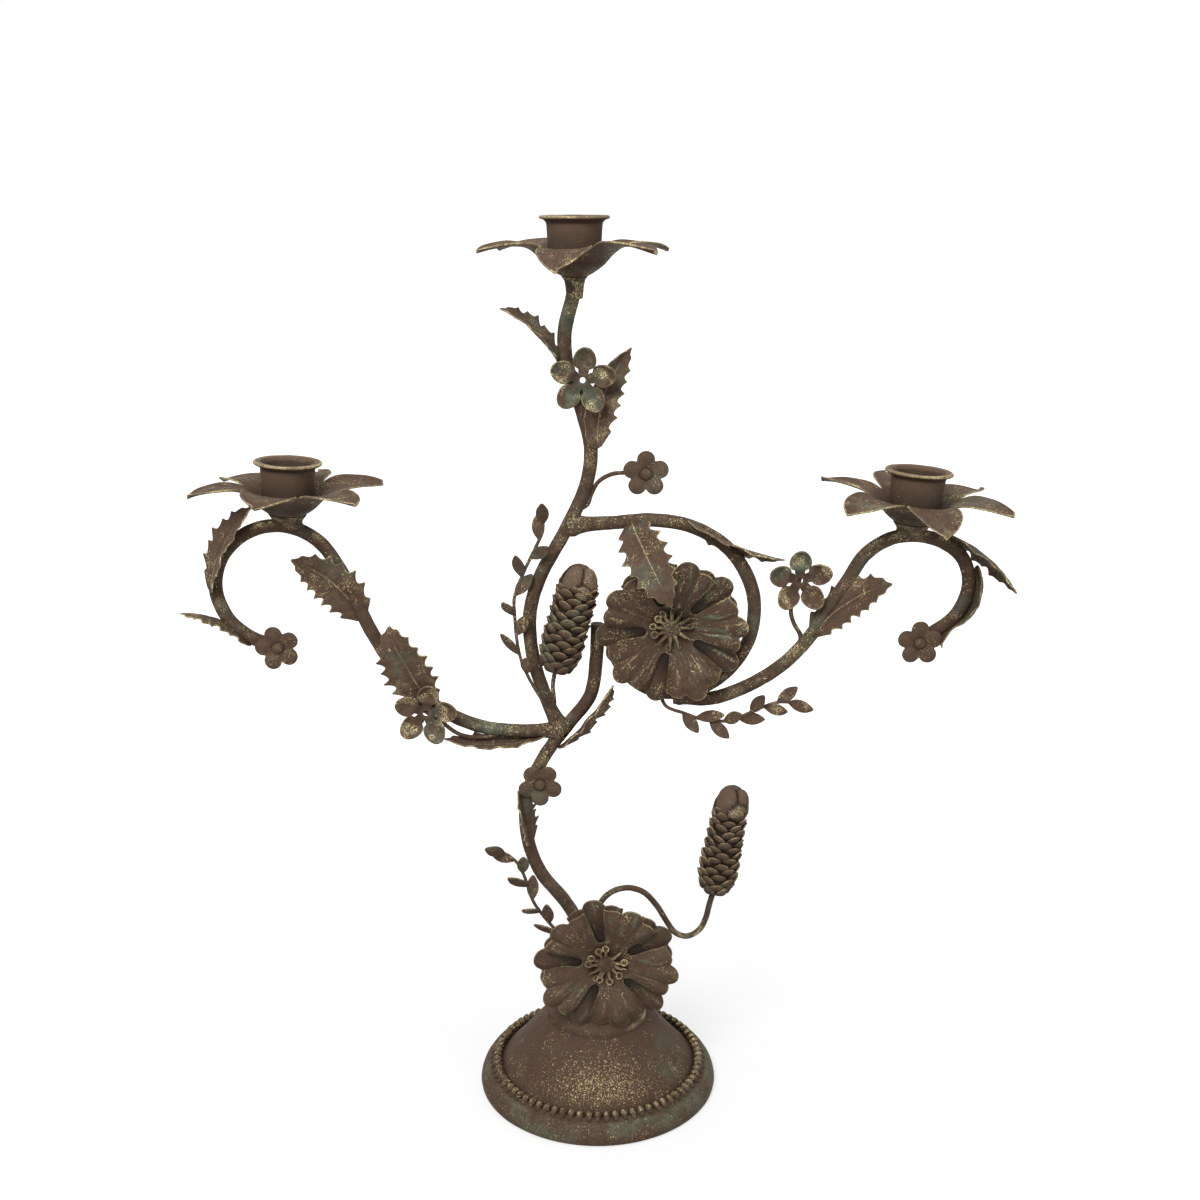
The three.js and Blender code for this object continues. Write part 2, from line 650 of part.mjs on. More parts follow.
function addCuppedFlower(name, place, turn) {
  const flower = flowerGroup(place);
  const span = CUPPED_FLOWER_R - CUPPED_FLOWER_DISC_R;
  const petals = petalSheet({
    petals: 5,
    outlineShares: CUPPED_OUTLINE_SHARES,
    radius: CUPPED_FLOWER_R,
    holeR: CUPPED_HOLE_R,
    discR: CUPPED_FLOWER_DISC_R,
    ringShares: [1],
    height: (r) => (CUPPED_FLOWER_RISE * Math.max(0, r - CUPPED_FLOWER_DISC_R)) / span,
    sheet: LEAF_SHEET,
  });
  add(name, petals, leafPaint(), flower).rotation.z = degrees(turn);
}

// A point just in front of a curve, by half its thickness and the clearance
function inFrontOf(curve, share, diameter) {
  return curve.getPointAt(share).addScaledVector(FRONT, diameter / 2 + FIT);
}

const LOWER_FLOWER_SHARE = 0.186;

function addFlowers() {
  addBigFlower('upper_flower', inFrontOf(ring, 1, ROD_D), 41);

  const post = stem.getPointAt(LOWER_FLOWER_SHARE);
  const lowerPlace = inFrontOf(stem, LOWER_FLOWER_SHARE, ROD_D).addScaledVector(FRONT, LOWER_FLOWER_STANDOFF);
  lowerPlace.x += LOWER_FLOWER_OFFSET;
  addBigFlower('lower_flower', lowerPlace, 30);
  const behind = lowerPlace.clone().addScaledVector(FRONT, -FIT);
  const knee = new THREE.Vector3(behind.x, (post.y + behind.y) / 2, behind.z);
  const postRoute = new THREE.QuadraticBezierCurve3(post, knee, behind);
  const postStep = POST_D;
  const room = [rooms.stem];
  add('lower_flower_post', trimmed(tube(postRoute, POST_D, ROD_SIDES, postStep), room), ironPaint());

  const flatOnStem = inFrontOf(stem, 0.61, ROD_D);
  flatOnStem.x += (2 / 3) * ROD_D;
  addFlatFlower('stem_flower', flatOnStem, 36);
  addFlatFlower('left_end_flower', inFrontOf(left, 0.99, ROD_D), 15);
  addFlatFlower('right_end_flower', inFrontOf(right, 0.985, ROD_D), 0);
  addFlatFlower('upper_wire_flower', inFrontOf(wires.upper_flower_wire, 0.97, FLOWER_WIRE_D), 0);

  const topFlower = inFrontOf(centre, 0.8, ROD_D);
  topFlower.x += CUPPED_FLOWER_DISC_R + CUPPED_HOLE_R;
  addCuppedFlower('top_cupped_flower', topFlower, 12);
  addCuppedFlower('right_cupped_flower', inFrontOf(wires.right_flower_wire, 0.97, FLOWER_WIRE_D), 20);
  addCuppedFlower('lower_cupped_flower', inFrontOf(wires.lower_flower_wire, 0.97, FLOWER_WIRE_D), 8);
}

// Leaves: a pressed sheet with forward-pointing teeth, folded along its midrib

// Half the leaf's outline from stalk to tip, in shares of its length and of half its width
const LEAF_EDGE_SHARES = [
  [0, 0.25], [0.1, 0.86], [0.15, 0.64], [0.28, 1], [0.33, 0.74], [0.46, 0.97], [0.51, 0.68],
  [0.64, 0.83], [0.69, 0.52], [0.8, 0.58], [0.85, 0.28], [1, 0.03],
];
const LEAF_TRAVEL_STEPS = 4;

// The points and directions along a leaf, whose pose is in degrees: its heading, its lean to the
// front and its roll are those of its middle, it sweeps to the side and curls evenly, twists more
// and more, and bends at its tip
function leafFrames(start, pose, length) {
  const { heading, lean, roll, sweep = 0, curl = 0, twist = 0, tip = 0 } = pose;
  const tipStart = 0.6;
  const ahead = new THREE.Vector3(Math.cos(degrees(heading)), 0, Math.sin(degrees(heading)));
  ahead.multiplyScalar(Math.cos(degrees(lean))).addScaledVector(FRONT, Math.sin(degrees(lean)));
  const face = FRONT.clone().addScaledVector(ahead, -FRONT.dot(ahead)).normalize();
  face.applyAxisAngle(ahead, degrees(roll));
  const side = ahead.clone().cross(face);
  const point = start.clone();
  let reached = 0;
  return LEAF_EDGE_SHARES.map(([along]) => {
    const frameAt = (share) => {
      const bent = tip * (Math.max(0, share - tipStart) / (1 - tipStart)) ** 2;
      const turn = (vector) => vector.clone()
        .applyAxisAngle(ahead, degrees(twist * share))
        .applyAxisAngle(side, degrees(curl * (share - 1 / 2) + bent))
        .applyAxisAngle(face, degrees(sweep * (share - 1 / 2)));
      return { ahead: turn(ahead), face: turn(face), side: turn(side) };
    };
    for (let step = 0; step < LEAF_TRAVEL_STEPS; step += 1) {
      const share = reached + ((along - reached) * (step + 1 / 2)) / LEAF_TRAVEL_STEPS;
      point.addScaledVector(frameAt(share).ahead, ((along - reached) * length) / LEAF_TRAVEL_STEPS);
    }
    reached = along;
    return { point: point.clone(), ...frameAt(along) };
  });
}

function leafGeometry(start, pose, length, width) {
  const points = [];
  const triangles = [];
  const fold = degrees(pose.fold ?? 14);
  const frames = leafFrames(start, pose, length);
  frames.forEach(({ point, face, side }, row) => {
    const half = (LEAF_EDGE_SHARES[row][1] * width) / 2;
    for (const across of [-half, 0, half]) {
      const place = point.clone().addScaledVector(side, across * Math.cos(fold));
      place.addScaledVector(face, Math.abs(across) * Math.sin(fold));
      points.push(place.clone().addScaledVector(face, LEAF_SHEET / 2));
      points.push(place.addScaledVector(face, -LEAF_SHEET / 2));
    }
  });
  // each row holds six points: front and back of one edge, the midrib and the other edge
  const rowOutline = [0, 2, 4, 5, 3, 1];
  for (let row = 0; row < frames.length - 1; row += 1) {
    rowOutline.forEach((corner, index) => {
      const next = rowOutline[(index + 1) % rowOutline.length];
      const here = row * rowOutline.length;
      const there = here + rowOutline.length;
      triangles.push([here + corner, here + next, there + next]);
      triangles.push([here + corner, there + next, there + corner]);
    });
  }
  const last = (frames.length - 1) * rowOutline.length;
  triangles.push([0, 1, 3], [0, 3, 2], [2, 3, 5], [2, 5, 4]);
  for (const [a, b, c] of [[0, 3, 1], [0, 2, 3], [2, 5, 3], [2, 4, 5]]) {
    triangles.push([last + a, last + b, last + c]);
  }
  return closedGeometry(points, triangles);
}

// Each leaf: its rod and place on it, its length, its pose, and how far its stalk stands from
// the rod's middle to the right, forward and up, in shares of the rod's diameter
const LEAVES = {
  top_left_leaf: {
    host: 'centre', atShare: 0.828, longShare: 0.84, asideShares: [-0.55, -0.6, -0.05],
    pose: { heading: 136, lean: 4, roll: 80, curl: -46 },
  },
  top_right_leaf: {
    host: 'centre', atShare: 0.655, longShare: 1.1, asideShares: [0.5, 0.5, 0], wideShare: 0.75,
    pose: { heading: 71, lean: -10, roll: 0, sweep: -46, twist: 24, fold: 22 },
  },
  left_hook_leaf: {
    host: 'left', atShare: 0.84, longShare: 1.1, asideShares: [-0.4, 0, 0],
    pose: { heading: 62, lean: 4, roll: -70, curl: -46 },
  },
  left_arm_leaf: {
    host: 'left', atShare: 0.428, longShare: 1.02, asideShares: [-0.2, 0, 0],
    pose: { heading: 134, lean: 12, roll: 12, sweep: 44 },
  },
  left_low_leaf: {
    host: 'left', atShare: 0.24, longShare: 1.02, asideShares: [-0.1, 0.4, 0],
    pose: { heading: 115, lean: 12, roll: -8, tip: -70 },
  },
  left_tail_leaf: {
    host: 'left', atShare: 0.942, longShare: 0.84, asideShares: [-0.1, 0, -0.6],
    pose: { heading: 152, lean: 6, roll: -76, curl: 60 },
  },
  ring_top_leaf: {
    host: 'ring', atShare: 0.2, longShare: 1.12, asideShares: [0.2, 0, 0.4],
    pose: { heading: -22, lean: 6, roll: 70, curl: -26 },
  },
  ring_front_leaf: {
    host: 'ring', atShare: 0.11, longShare: 1.06, asideShares: [0, 0.3, 0],
    pose: { heading: -62, lean: 34, roll: 0, curl: -50 },
  },
  right_arm_leaf: {
    host: 'right', atShare: 0.332, longShare: 1.04, asideShares: [0, 0, 0],
    pose: { heading: 39, lean: 12, roll: -60, sweep: -45 },
  },
  right_top_leaf: {
    host: 'right', atShare: 0.702, longShare: 0.99, asideShares: [0.38, 0, 0.58],
    pose: { heading: -40, lean: 6, roll: 78, curl: 38 },
  },
  right_tail_leaf: {
    host: 'right', atShare: 0.78, longShare: 1.04, asideShares: [0.78, 0, 0.1],
    pose: { heading: -126, lean: 6, roll: 92, curl: 130, tip: -115 },
  },
  junction_left_leaf: {
    host: 'left', atShare: 0.03, longShare: 1.12, asideShares: [0, 0, -0.3],
    pose: { heading: 180, lean: 8, roll: 86, curl: 40 },
  },
  junction_right_leaf: {
    host: 'stem', atShare: 0.71, longShare: 0.97, asideShares: [0.35, 0, -0.35],
    pose: { heading: 52, lean: 8, roll: 67, curl: -22 },
  },
  stem_wrap_leaf: {
    host: 'stem', atShare: 0.465, longShare: 0.66, asideShares: [0.2, 0, 0],
    pose: { heading: 102, lean: 5, roll: 72, sweep: -15 },
  },
};

// Each leaf is trimmed where its rod is
function addLeaves() {
  for (const [name, leaf] of Object.entries(LEAVES)) {
    const [right, forward, up] = leaf.asideShares;
    const start = rods[leaf.host].getPointAt(leaf.atShare);
    start.add(new THREE.Vector3(right, -forward, up).multiplyScalar(ROD_D));
    const width = (leaf.wideShare ?? 1) * LEAF_W;
    const sheet = leafGeometry(start, leaf.pose, leaf.longShare * LEAF_L, width);
    add(name, trimmed(sheet, [rooms[leaf.host]]), leafPaint());
  }
}

// Sprigs: a thin wire with oval leaflets in turn on either side, the last one at its tip

const SPRIGS = {
  upper_sprig: {
    host: 'centre', atShare: 0.055, reach: 18, rise: 115, depth: 5,
    shares: [[0, 0], [-0.23, 0.06, -1], [-0.47, 0.12, -1], [-0.81, 0.235, -1], [-0.95, 0.33, -1],
      [-1.02, 0.47, -1], [-1.02, 0.55, -1], [-0.74, 0.67, -1], [-0.19, 0.86, -1], [-0.17, 0.91, -1]],
  },
  lower_sprig: {
    host: 'stem', atShare: 0.14, reach: 62, rise: 76, depth: 5,
    shares: [[0, 0], [-0.16, 0.12, -1], [-0.33, 0.28, -1], [-0.49, 0.45, -1], [-0.56, 0.55, -1],
      [-0.6, 0.66, -1], [-0.64, 0.76, -1], [-0.7, 0.85, -1], [-0.82, 0.925, -1]],
  },
  right_sprig: {
    host: 'ring', atShare: 0.675, reach: 72, rise: 13, depth: 6,
    shares: [[0, 0], [0.05, -0.49, -0.95], [0.185, -0.785, -1], [0.335, -1.08, -1], [0.485, -1.12, -1],
      [0.6, -0.93, -1], [0.745, -0.55, -1], [0.88, -0.3, -1], [0.97, -0.32, -1]],
  },
};
const LEAFLET_COUNT = 9;
const LEAFLET_ANGLE = 29;

// An oval leaflet as a lens: six points round its edge and one on each face
function leafletGeometry() {
  const edgeShares = [[0, 0], [0.3, 0.42], [0.7, 0.46], [1, 0], [0.7, -0.46], [0.3, -0.42]];
  const points = edgeShares.map(([x, y]) => new THREE.Vector3(x * LEAFLET_L, y * LEAFLET_W, 0));
  const crest = new THREE.Vector3(LEAFLET_L / 2, 0, LEAF_SHEET);
  points.push(crest, crest.clone().negate().setX(crest.x));
  const front = edgeShares.length;
  const triangles = [];
  for (let corner = 0; corner < front; corner += 1) {
    const next = (corner + 1) % front;
    triangles.push([next, corner, front], [corner, next, front + 1]);
  }
  return closedGeometry(points, triangles);
}

function sprigGeometry(curve) {
  let body = solidOf(tube(curve, SPRIG_WIRE_D, WIRE_SIDES, 2 * WIRE_STEP));
  const firstShare = 0.24;
  for (let leaflet = 0; leaflet < LEAFLET_COUNT; leaflet += 1) {
    const share = THREE.MathUtils.lerp(firstShare, 1, leaflet / (LEAFLET_COUNT - 1));
    const side = leaflet === LEAFLET_COUNT - 1 ? 0 : 1 - 2 * (leaflet % 2);
    const at = Math.min(share, 1 - SPRIG_WIRE_D / curve.getLength());
    const ahead = curve.getTangentAt(at).applyAxisAngle(FRONT, -side * degrees(LEAFLET_ANGLE));
    const across = FRONT.clone().cross(ahead).normalize();
    const face = ahead.clone().cross(across);
    const leaf = leafletGeometry();
    leaf.applyMatrix4(new THREE.Matrix4().makeBasis(ahead, across, face).setPosition(curve.getPointAt(at)));
    body = body.add(solidOf(leaf));
  }
  return geometryOf(body);
}

function addSprigs() {
  for (const [name, sprig] of Object.entries(SPRIGS)) {
    const start = rods[sprig.host].getPointAt(sprig.atShare);
    const curve = route(start, sprig.reach, sprig.rise, sprig.shares, sprig.depth);
    add(name, trimmed(sprigGeometry(curve), [rooms[sprig.host]]), leafPaint());
  }
}

// Cones: tiers of overlapping rounded scales that close over the top

// The cone's girth from its stalk to its tip, in shares of its radius and length
const CONE_GIRTH_SHARES = [[0, 0.55], [0.12, 0.9], [0.3, 1], [0.7, 0.97], [0.88, 0.88], [1, 0.5]];

function coneGeometry(length) {
  const columns = 2 * CONE_SCALES;
  const tuckShare = 0.78;
  const gapShare = 0.84;
  const lipShare = 0.95;
  const gapLipShare = 0.5;
  const points = [new THREE.Vector3()];
  const triangles = [];
  const addPoint = (column, radius, height) => {
    const angle = (2 * Math.PI * column) / columns;
    points.push(new THREE.Vector3(radius * Math.cos(angle), radius * Math.sin(angle), height));
  };
  const girth = (share) => CONE_R * heightAt(CONE_GIRTH_SHARES, share);
  for (let tier = 0; tier < CONE_TIERS; tier += 1) {
    const footShare = tier / CONE_TIERS;
    for (let column = 0; column < columns; column += 1) {
      addPoint(column, tuckShare * girth(footShare), footShare * length);
    }
    for (let column = 0; column < columns; column += 1) {
      const gap = (column + tier) % 2;
      const edgeShare = (tier + (gap ? gapLipShare : lipShare)) / CONE_TIERS;
      addPoint(column, girth(edgeShare) * (gap ? gapShare : 1), edgeShare * length);
    }
  }
  const rings = 2 * CONE_TIERS;
  const tip = points.length;
  points.push(new THREE.Vector3(0, 0, length));
  const at = (band, column) => 1 + band * columns + (column % columns);
  for (let column = 0; column < columns; column += 1) {
    triangles.push([0, at(0, column + 1), at(0, column)]);
    for (let band = 0; band < rings - 1; band += 1) {
      triangles.push([at(band, column), at(band, column + 1), at(band + 1, column + 1)]);
      triangles.push([at(band, column), at(band + 1, column + 1), at(band + 1, column)]);
    }
    triangles.push([at(rings - 1, column), at(rings - 1, column + 1), tip]);
  }
  return closedGeometry(points, triangles);
}

// A cone stands on the end of its wire, leaning by the angle given from upright
function addCone(name, wire, lean, length) {
  const axis = UP.clone().applyAxisAngle(new THREE.Vector3(0, 1, 0), degrees(lean));
  const cone = add(name, coneGeometry(length), goldPaint());
  cone.position.copy(wire.getPointAt(1)).addScaledVector(axis, FIT);
  cone.rotation.y = degrees(lean);
}

addBase();
addRods();
addWires();
addCandleHolders();
addFlowers();
addLeaves();
addSprigs();
addCone('upper_cone', wires.upper_cone_wire, 15, CONE_L);
addCone('lower_cone', wires.lower_cone_wire, 9.5, LOWER_CONE_L);

export default candelabra;
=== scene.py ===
from functools import cached_property
from math import asin, atan2, cos, degrees, exp, hypot, pi, radians, sin, sqrt, tan

import bpy
import numpy as np
from mathutils import Matrix, Quaternion, Vector, noise

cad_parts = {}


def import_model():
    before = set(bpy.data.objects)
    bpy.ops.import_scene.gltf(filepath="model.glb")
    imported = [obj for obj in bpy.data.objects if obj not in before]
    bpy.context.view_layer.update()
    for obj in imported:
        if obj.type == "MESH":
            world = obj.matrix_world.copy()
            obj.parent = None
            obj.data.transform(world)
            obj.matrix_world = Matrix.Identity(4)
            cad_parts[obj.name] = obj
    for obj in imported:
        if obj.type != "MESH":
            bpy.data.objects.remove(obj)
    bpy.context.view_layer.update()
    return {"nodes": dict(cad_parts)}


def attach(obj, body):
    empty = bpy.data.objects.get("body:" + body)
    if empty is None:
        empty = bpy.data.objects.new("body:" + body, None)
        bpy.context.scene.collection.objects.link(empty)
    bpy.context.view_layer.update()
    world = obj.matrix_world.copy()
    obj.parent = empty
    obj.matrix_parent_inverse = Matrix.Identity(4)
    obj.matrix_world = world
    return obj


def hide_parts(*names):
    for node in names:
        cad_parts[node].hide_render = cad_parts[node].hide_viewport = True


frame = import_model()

# Sizes in millimetres, as in the part; a piece is scaled to metres when it is settled
MM = 0.001
ROD_D = 7.2
CONE_WIRE_D = 3.2
FLOWER_WIRE_D = 2.3
SPRIG_WIRE_D = 1.8
POST_D = 4
FIT = 0.3
BASE_R = 66.5
DOME_H = 49
DOME_WALL = 1.6
BEAD_COUNT = 76
STEM_TAIL = 13
LEAF_L = 50
LEAF_W = 27
LEAF_SHEET = 0.9
PETAL_SHEET = 0.9

FRONT = Vector((0, -1, 0))
move = Matrix.Translation


def spin(turn, axis):
    """A turn in degrees about an axis."""
    return Matrix.Rotation(radians(turn), 4, axis)


def leaning(tilt):
    """Up, leant to the right by some degrees."""
    return Vector((sin(radians(tilt)), 0, cos(radians(tilt))))


FACE_FRONT = spin(90, "X")


# Routes

class Route:
    """A smooth line through points, with places on it given as shares of its length."""

    def __init__(self, points, steps=28):
        knots = [np.array(point, float) for point in points]
        knots = [2 * knots[0] - knots[1], *knots, 2 * knots[-1] - knots[-2]]
        line = []
        for before, here, there, after in zip(knots, knots[1:], knots[2:], knots[3:]):
            gap_in, gap, gap_out = (
                np.linalg.norm(end - start) ** 0.5
                for start, end in ((before, here), (here, there), (there, after))
            )
            leave = (here - before) / gap_in - (there - before) / (gap_in + gap) + (there - here) / gap
            arrive = (there - here) / gap - (after - here) / (gap + gap_out) + (after - there) / gap_out
            for step in range(steps):
                t = step / steps
                line.append(
                    (2 * t ** 3 - 3 * t ** 2 + 1) * here + (t ** 3 - 2 * t ** 2 + t) * leave * gap
                    + (3 * t ** 2 - 2 * t ** 3) * there + (t ** 3 - t ** 2) * arrive * gap
                )
        line.append(knots[-2])
        self.line = np.array(line)
        lengths = np.linalg.norm(np.diff(self.line, axis=0), axis=1)
        self.travel = np.concatenate([[0], np.cumsum(lengths)])
        self.length = self.travel[-1]

    def at(self, share):
        reach = share * self.length
        return Vector([np.interp(reach, self.travel, self.line[:, axis]) for axis in range(3)])

    def heading(self, share):
        small = 0.004
        return (self.at(min(1, share + small)) - self.at(max(0, share - small))).normalized()


def route(start, reach, rise, shares, depth=0):
    return Route([
        (start[0] + place[0] * reach, start[1] + (place[2] if len(place) > 2 else 0) * depth,
         start[2] + place[1] * rise)
        for place in shares
    ])


# The rods' lines, in shares of their reach to the right and of their rise
STEM_SHARES = [
    (0, 0), (0, 0.05), (-0.09, 0.145), (-0.43, 0.267), (-0.8, 0.357), (-0.98, 0.457),
    (-0.96, 0.566), (-0.72, 0.665), (-0.38, 0.751), (-0.1, 0.821), (-0.02, 0.914), (0, 1),
]
CENTRE_SHARES = [
    (0, 0), (-0.42, 0.065), (-0.9, 0.18), (-0.97, 0.28), (-0.64, 0.363), (0.12, 0.464),
    (0.74, 0.561), (0.91, 0.641), (0.66, 0.725), (0.22, 0.82), (0.15, 0.89), (0.42, 0.975), (0.45, 1),
]
LEFT_SHARES = [
    (0, 0), (-0.13, -0.007), (-0.25, 0.018), (-0.36, 0.1), (-0.469, 0.256), (-0.56, 0.5),
    (-0.627, 0.753), (-0.703, 0.935), (-0.797, 1), (-0.894, 0.972), (-0.973, 0.86),
    (-1, 0.697), (-0.967, 0.547), (-0.896, 0.452), (-0.81, 0.417),
]
RING_SHARES = [
    (0, 0), (0.232, 0.014), (0.453, 0.029), (0.664, -0.012), (0.866, -0.151), (0.986, -0.391),
    (0.971, -0.654), (0.837, -0.863), (0.642, -0.968), (0.413, -0.938), (0.255, -0.76),
    (0.265, -0.496), (0.446, -0.403), (0.551, -0.572),
]
RIGHT_SHARES = [
    (0, 0), (0.1, -0.04), (0.224, 0.023), (0.358, 0.166), (0.454, 0.343), (0.52, 0.54),
    (0.584, 0.72), (0.641, 0.881), (0.738, 0.986), (0.867, 0.98), (0.969, 0.867), (1, 0.686),
    (0.962, 0.5), (0.882, 0.384), (0.815, 0.316),
]
STEM_BOW = 39.5
STEM_RISE = 221
CENTRE_REACH, CENTRE_RISE = 17, 237
LEFT_REACH, LEFT_RISE = 181, 111.6
RING_REACH, RING_RISE = 97.7, 93.6
RIGHT_REACH, RIGHT_RISE = 151.7, 86
# Where each rod starts, as a share of the length of the rod that carries it
CENTRE_FOOT, LEFT_FOOT, RING_FOOT, RIGHT_FOOT = 0.742, 0.748, 0.484, 0.645
stem = Route(
    [(0, 0, DOME_H - STEM_TAIL)]
    + [(x * STEM_BOW, 0, DOME_H + z * STEM_RISE) for x, z in STEM_SHARES]
)
centre = route(stem.at(CENTRE_FOOT), CENTRE_REACH, CENTRE_RISE, CENTRE_SHARES)
left = route(stem.at(LEFT_FOOT), LEFT_REACH, LEFT_RISE, LEFT_SHARES)
ring = route(centre.at(RING_FOOT), RING_REACH, RING_RISE, RING_SHARES)
right = route(ring.at(RIGHT_FOOT), RIGHT_REACH, RIGHT_RISE, RIGHT_SHARES)
RODS = {"stem": stem, "centre": centre, "left": left, "ring": ring, "right": right}

# Each wire: its rod, the share along it, its reach, rise and depth, its diameter, and its route
WIRES = {
    "upper_flower_wire": ("centre", 0.525, 36.6, 18, 0, FLOWER_WIRE_D, [
        (0, 0), (0.14, 0.1), (0.2, 0.4), (0.3, 0.75), (0.48, 0.97), (0.7, 1.02), (1, 1)]),
    "right_flower_wire": ("right", 0.298, 6, 38, 0, FLOWER_WIRE_D, [
        (0, 0), (-0.05, 0.16), (-0.7, 0.345), (-1, 0.51), (-0.88, 0.68), (-0.5, 0.85), (-0.3, 1)]),
    "lower_flower_wire": ("left", 0.098, 44, 13, 5.5, FLOWER_WIRE_D, [
        (0, 0), (-0.2, -0.22, -0.3), (-0.42, -0.2, -0.7), (-0.6, 0.02, -1), (-0.75, 0.4, -1),
        (-0.88, 0.75, -1), (-1, 1, -1)]),
    "upper_cone_wire": ("centre", 0.06, 7, 24, 8, FLOWER_WIRE_D, [
        (0, 0), (0.3, 0.15, -0.5), (0.3, 0.4, -0.95), (0.25, 0.65, -1), (0.45, 1, -1)]),
    "lower_cone_wire": ("stem", 0.21, 68, 32, 6, CONE_WIRE_D, [
        (0, 0), (0.06, 0.45, -0.7), (0.15, 0.83, -1), (0.24, 0.97, -1), (0.355, 1.01, -1),
        (0.47, 0.92, -1), (0.57, 0.68, -1), (0.655, 0.37, -1), (0.725, 0.16, -1), (0.82, 0.095, -1),
        (0.92, 0.22, -1), (0.97, 0.45, -1), (0.995, 0.69, -1), (1.015, 0.86, -1), (1.03, 0.975, -1)]),
}
wires = {
    name: route(RODS[host].at(share), reach, rise, places, depth)
    for name, (host, share, reach, rise, depth, _, places) in WIRES.items()
}


# Finishes

def tint(colour):
    """A colour written as six hex digits, in the linear values that a socket takes."""
    parts = [int(colour[start:start + 2], 16) / 255 for start in (0, 2, 4)]
    return (*[part / 12.92 if part <= 0.04045 else ((part + 0.055) / 1.055) ** 2.4 for part in parts], 1)


BROWN, BROWN_DARK, BROWN_LIGHT = tint("523f32"), tint("43342a"), tint("624d3d")
BROWN_CLOUD, BROWN_GRAIN, BROWN_PALE = tint("554235"), tint("8f7860"), tint("7f6857")
# The second black is the near-black that painted shade darkens towards.
PIT_BLACK, HOLLOW_BLACK = tint("2e231b"), tint("1f1713")
PATINA_DEEP, PATINA_PALE = tint("576151"), tint("727c6a")
VEIN_BROWN = tint("947e60")
GOLD_DULL, GOLD_BRIGHT = tint("a38d5c"), tint("efe0af")


class Paint:
    """The node tree of a material or a world, built a node at a time."""

    def __init__(self, owner):
        owner.use_nodes = True
        self.tree = owner.node_tree
        self.tree.nodes.clear()

    @cached_property
    def place(self):
        return self.node("ShaderNodeTexCoord").outputs["Object"]

    def node(self, kind, settings=None, sockets=None):
        made = self.tree.nodes.new(kind)
        for key, value in (settings or {}).items():
            setattr(made, key, value)
        for key, value in (sockets or {}).items():
            if isinstance(value, bpy.types.NodeSocket):
                self.tree.links.new(value, made.inputs[key])
            else:
                made.inputs[key].default_value = value
        return made

    def noise(self, scale, detail=3, roughness=0.55, shift=0.0, place=None):
        place = place or self.place
        if shift:
            place = self.node("ShaderNodeMapping", None, {
                "Vector": place, "Location": (shift, shift * 0.7, shift * 1.3),
            }).outputs["Vector"]
        return self.node("ShaderNodeTexNoise", None, {
            "Vector": place, "Scale": scale, "Detail": detail, "Roughness": roughness,
        }).outputs["Fac"]

    def step(self, value, low, high):
        """0 below low, 1 above high and smooth between them."""
        return self.node("ShaderNodeMapRange", {"interpolation_type": "SMOOTHSTEP"}, {
            "Value": value, "From Min": low, "From Max": high,
        }).outputs["Result"]

    def sum(self, how, first, second=0.0):
        return self.node("ShaderNodeMath", {"operation": how}, {0: first, 1: second}).outputs[0]

    def both(self, *shares):
        """Shares multiplied together."""
        whole = shares[0]
        for share in shares[1:]:
            whole = self.sum("MULTIPLY", whole, share)
        return whole

    def blend(self, share, under, over):
        return self.node("ShaderNodeMix", {"data_type": "RGBA"}, {
            "Factor": share, "A": under, "B": over,
        }).outputs["Result"]

    def attribute(self, name):
        return self.node("ShaderNodeAttribute", {"attribute_name": name}).outputs["Fac"]


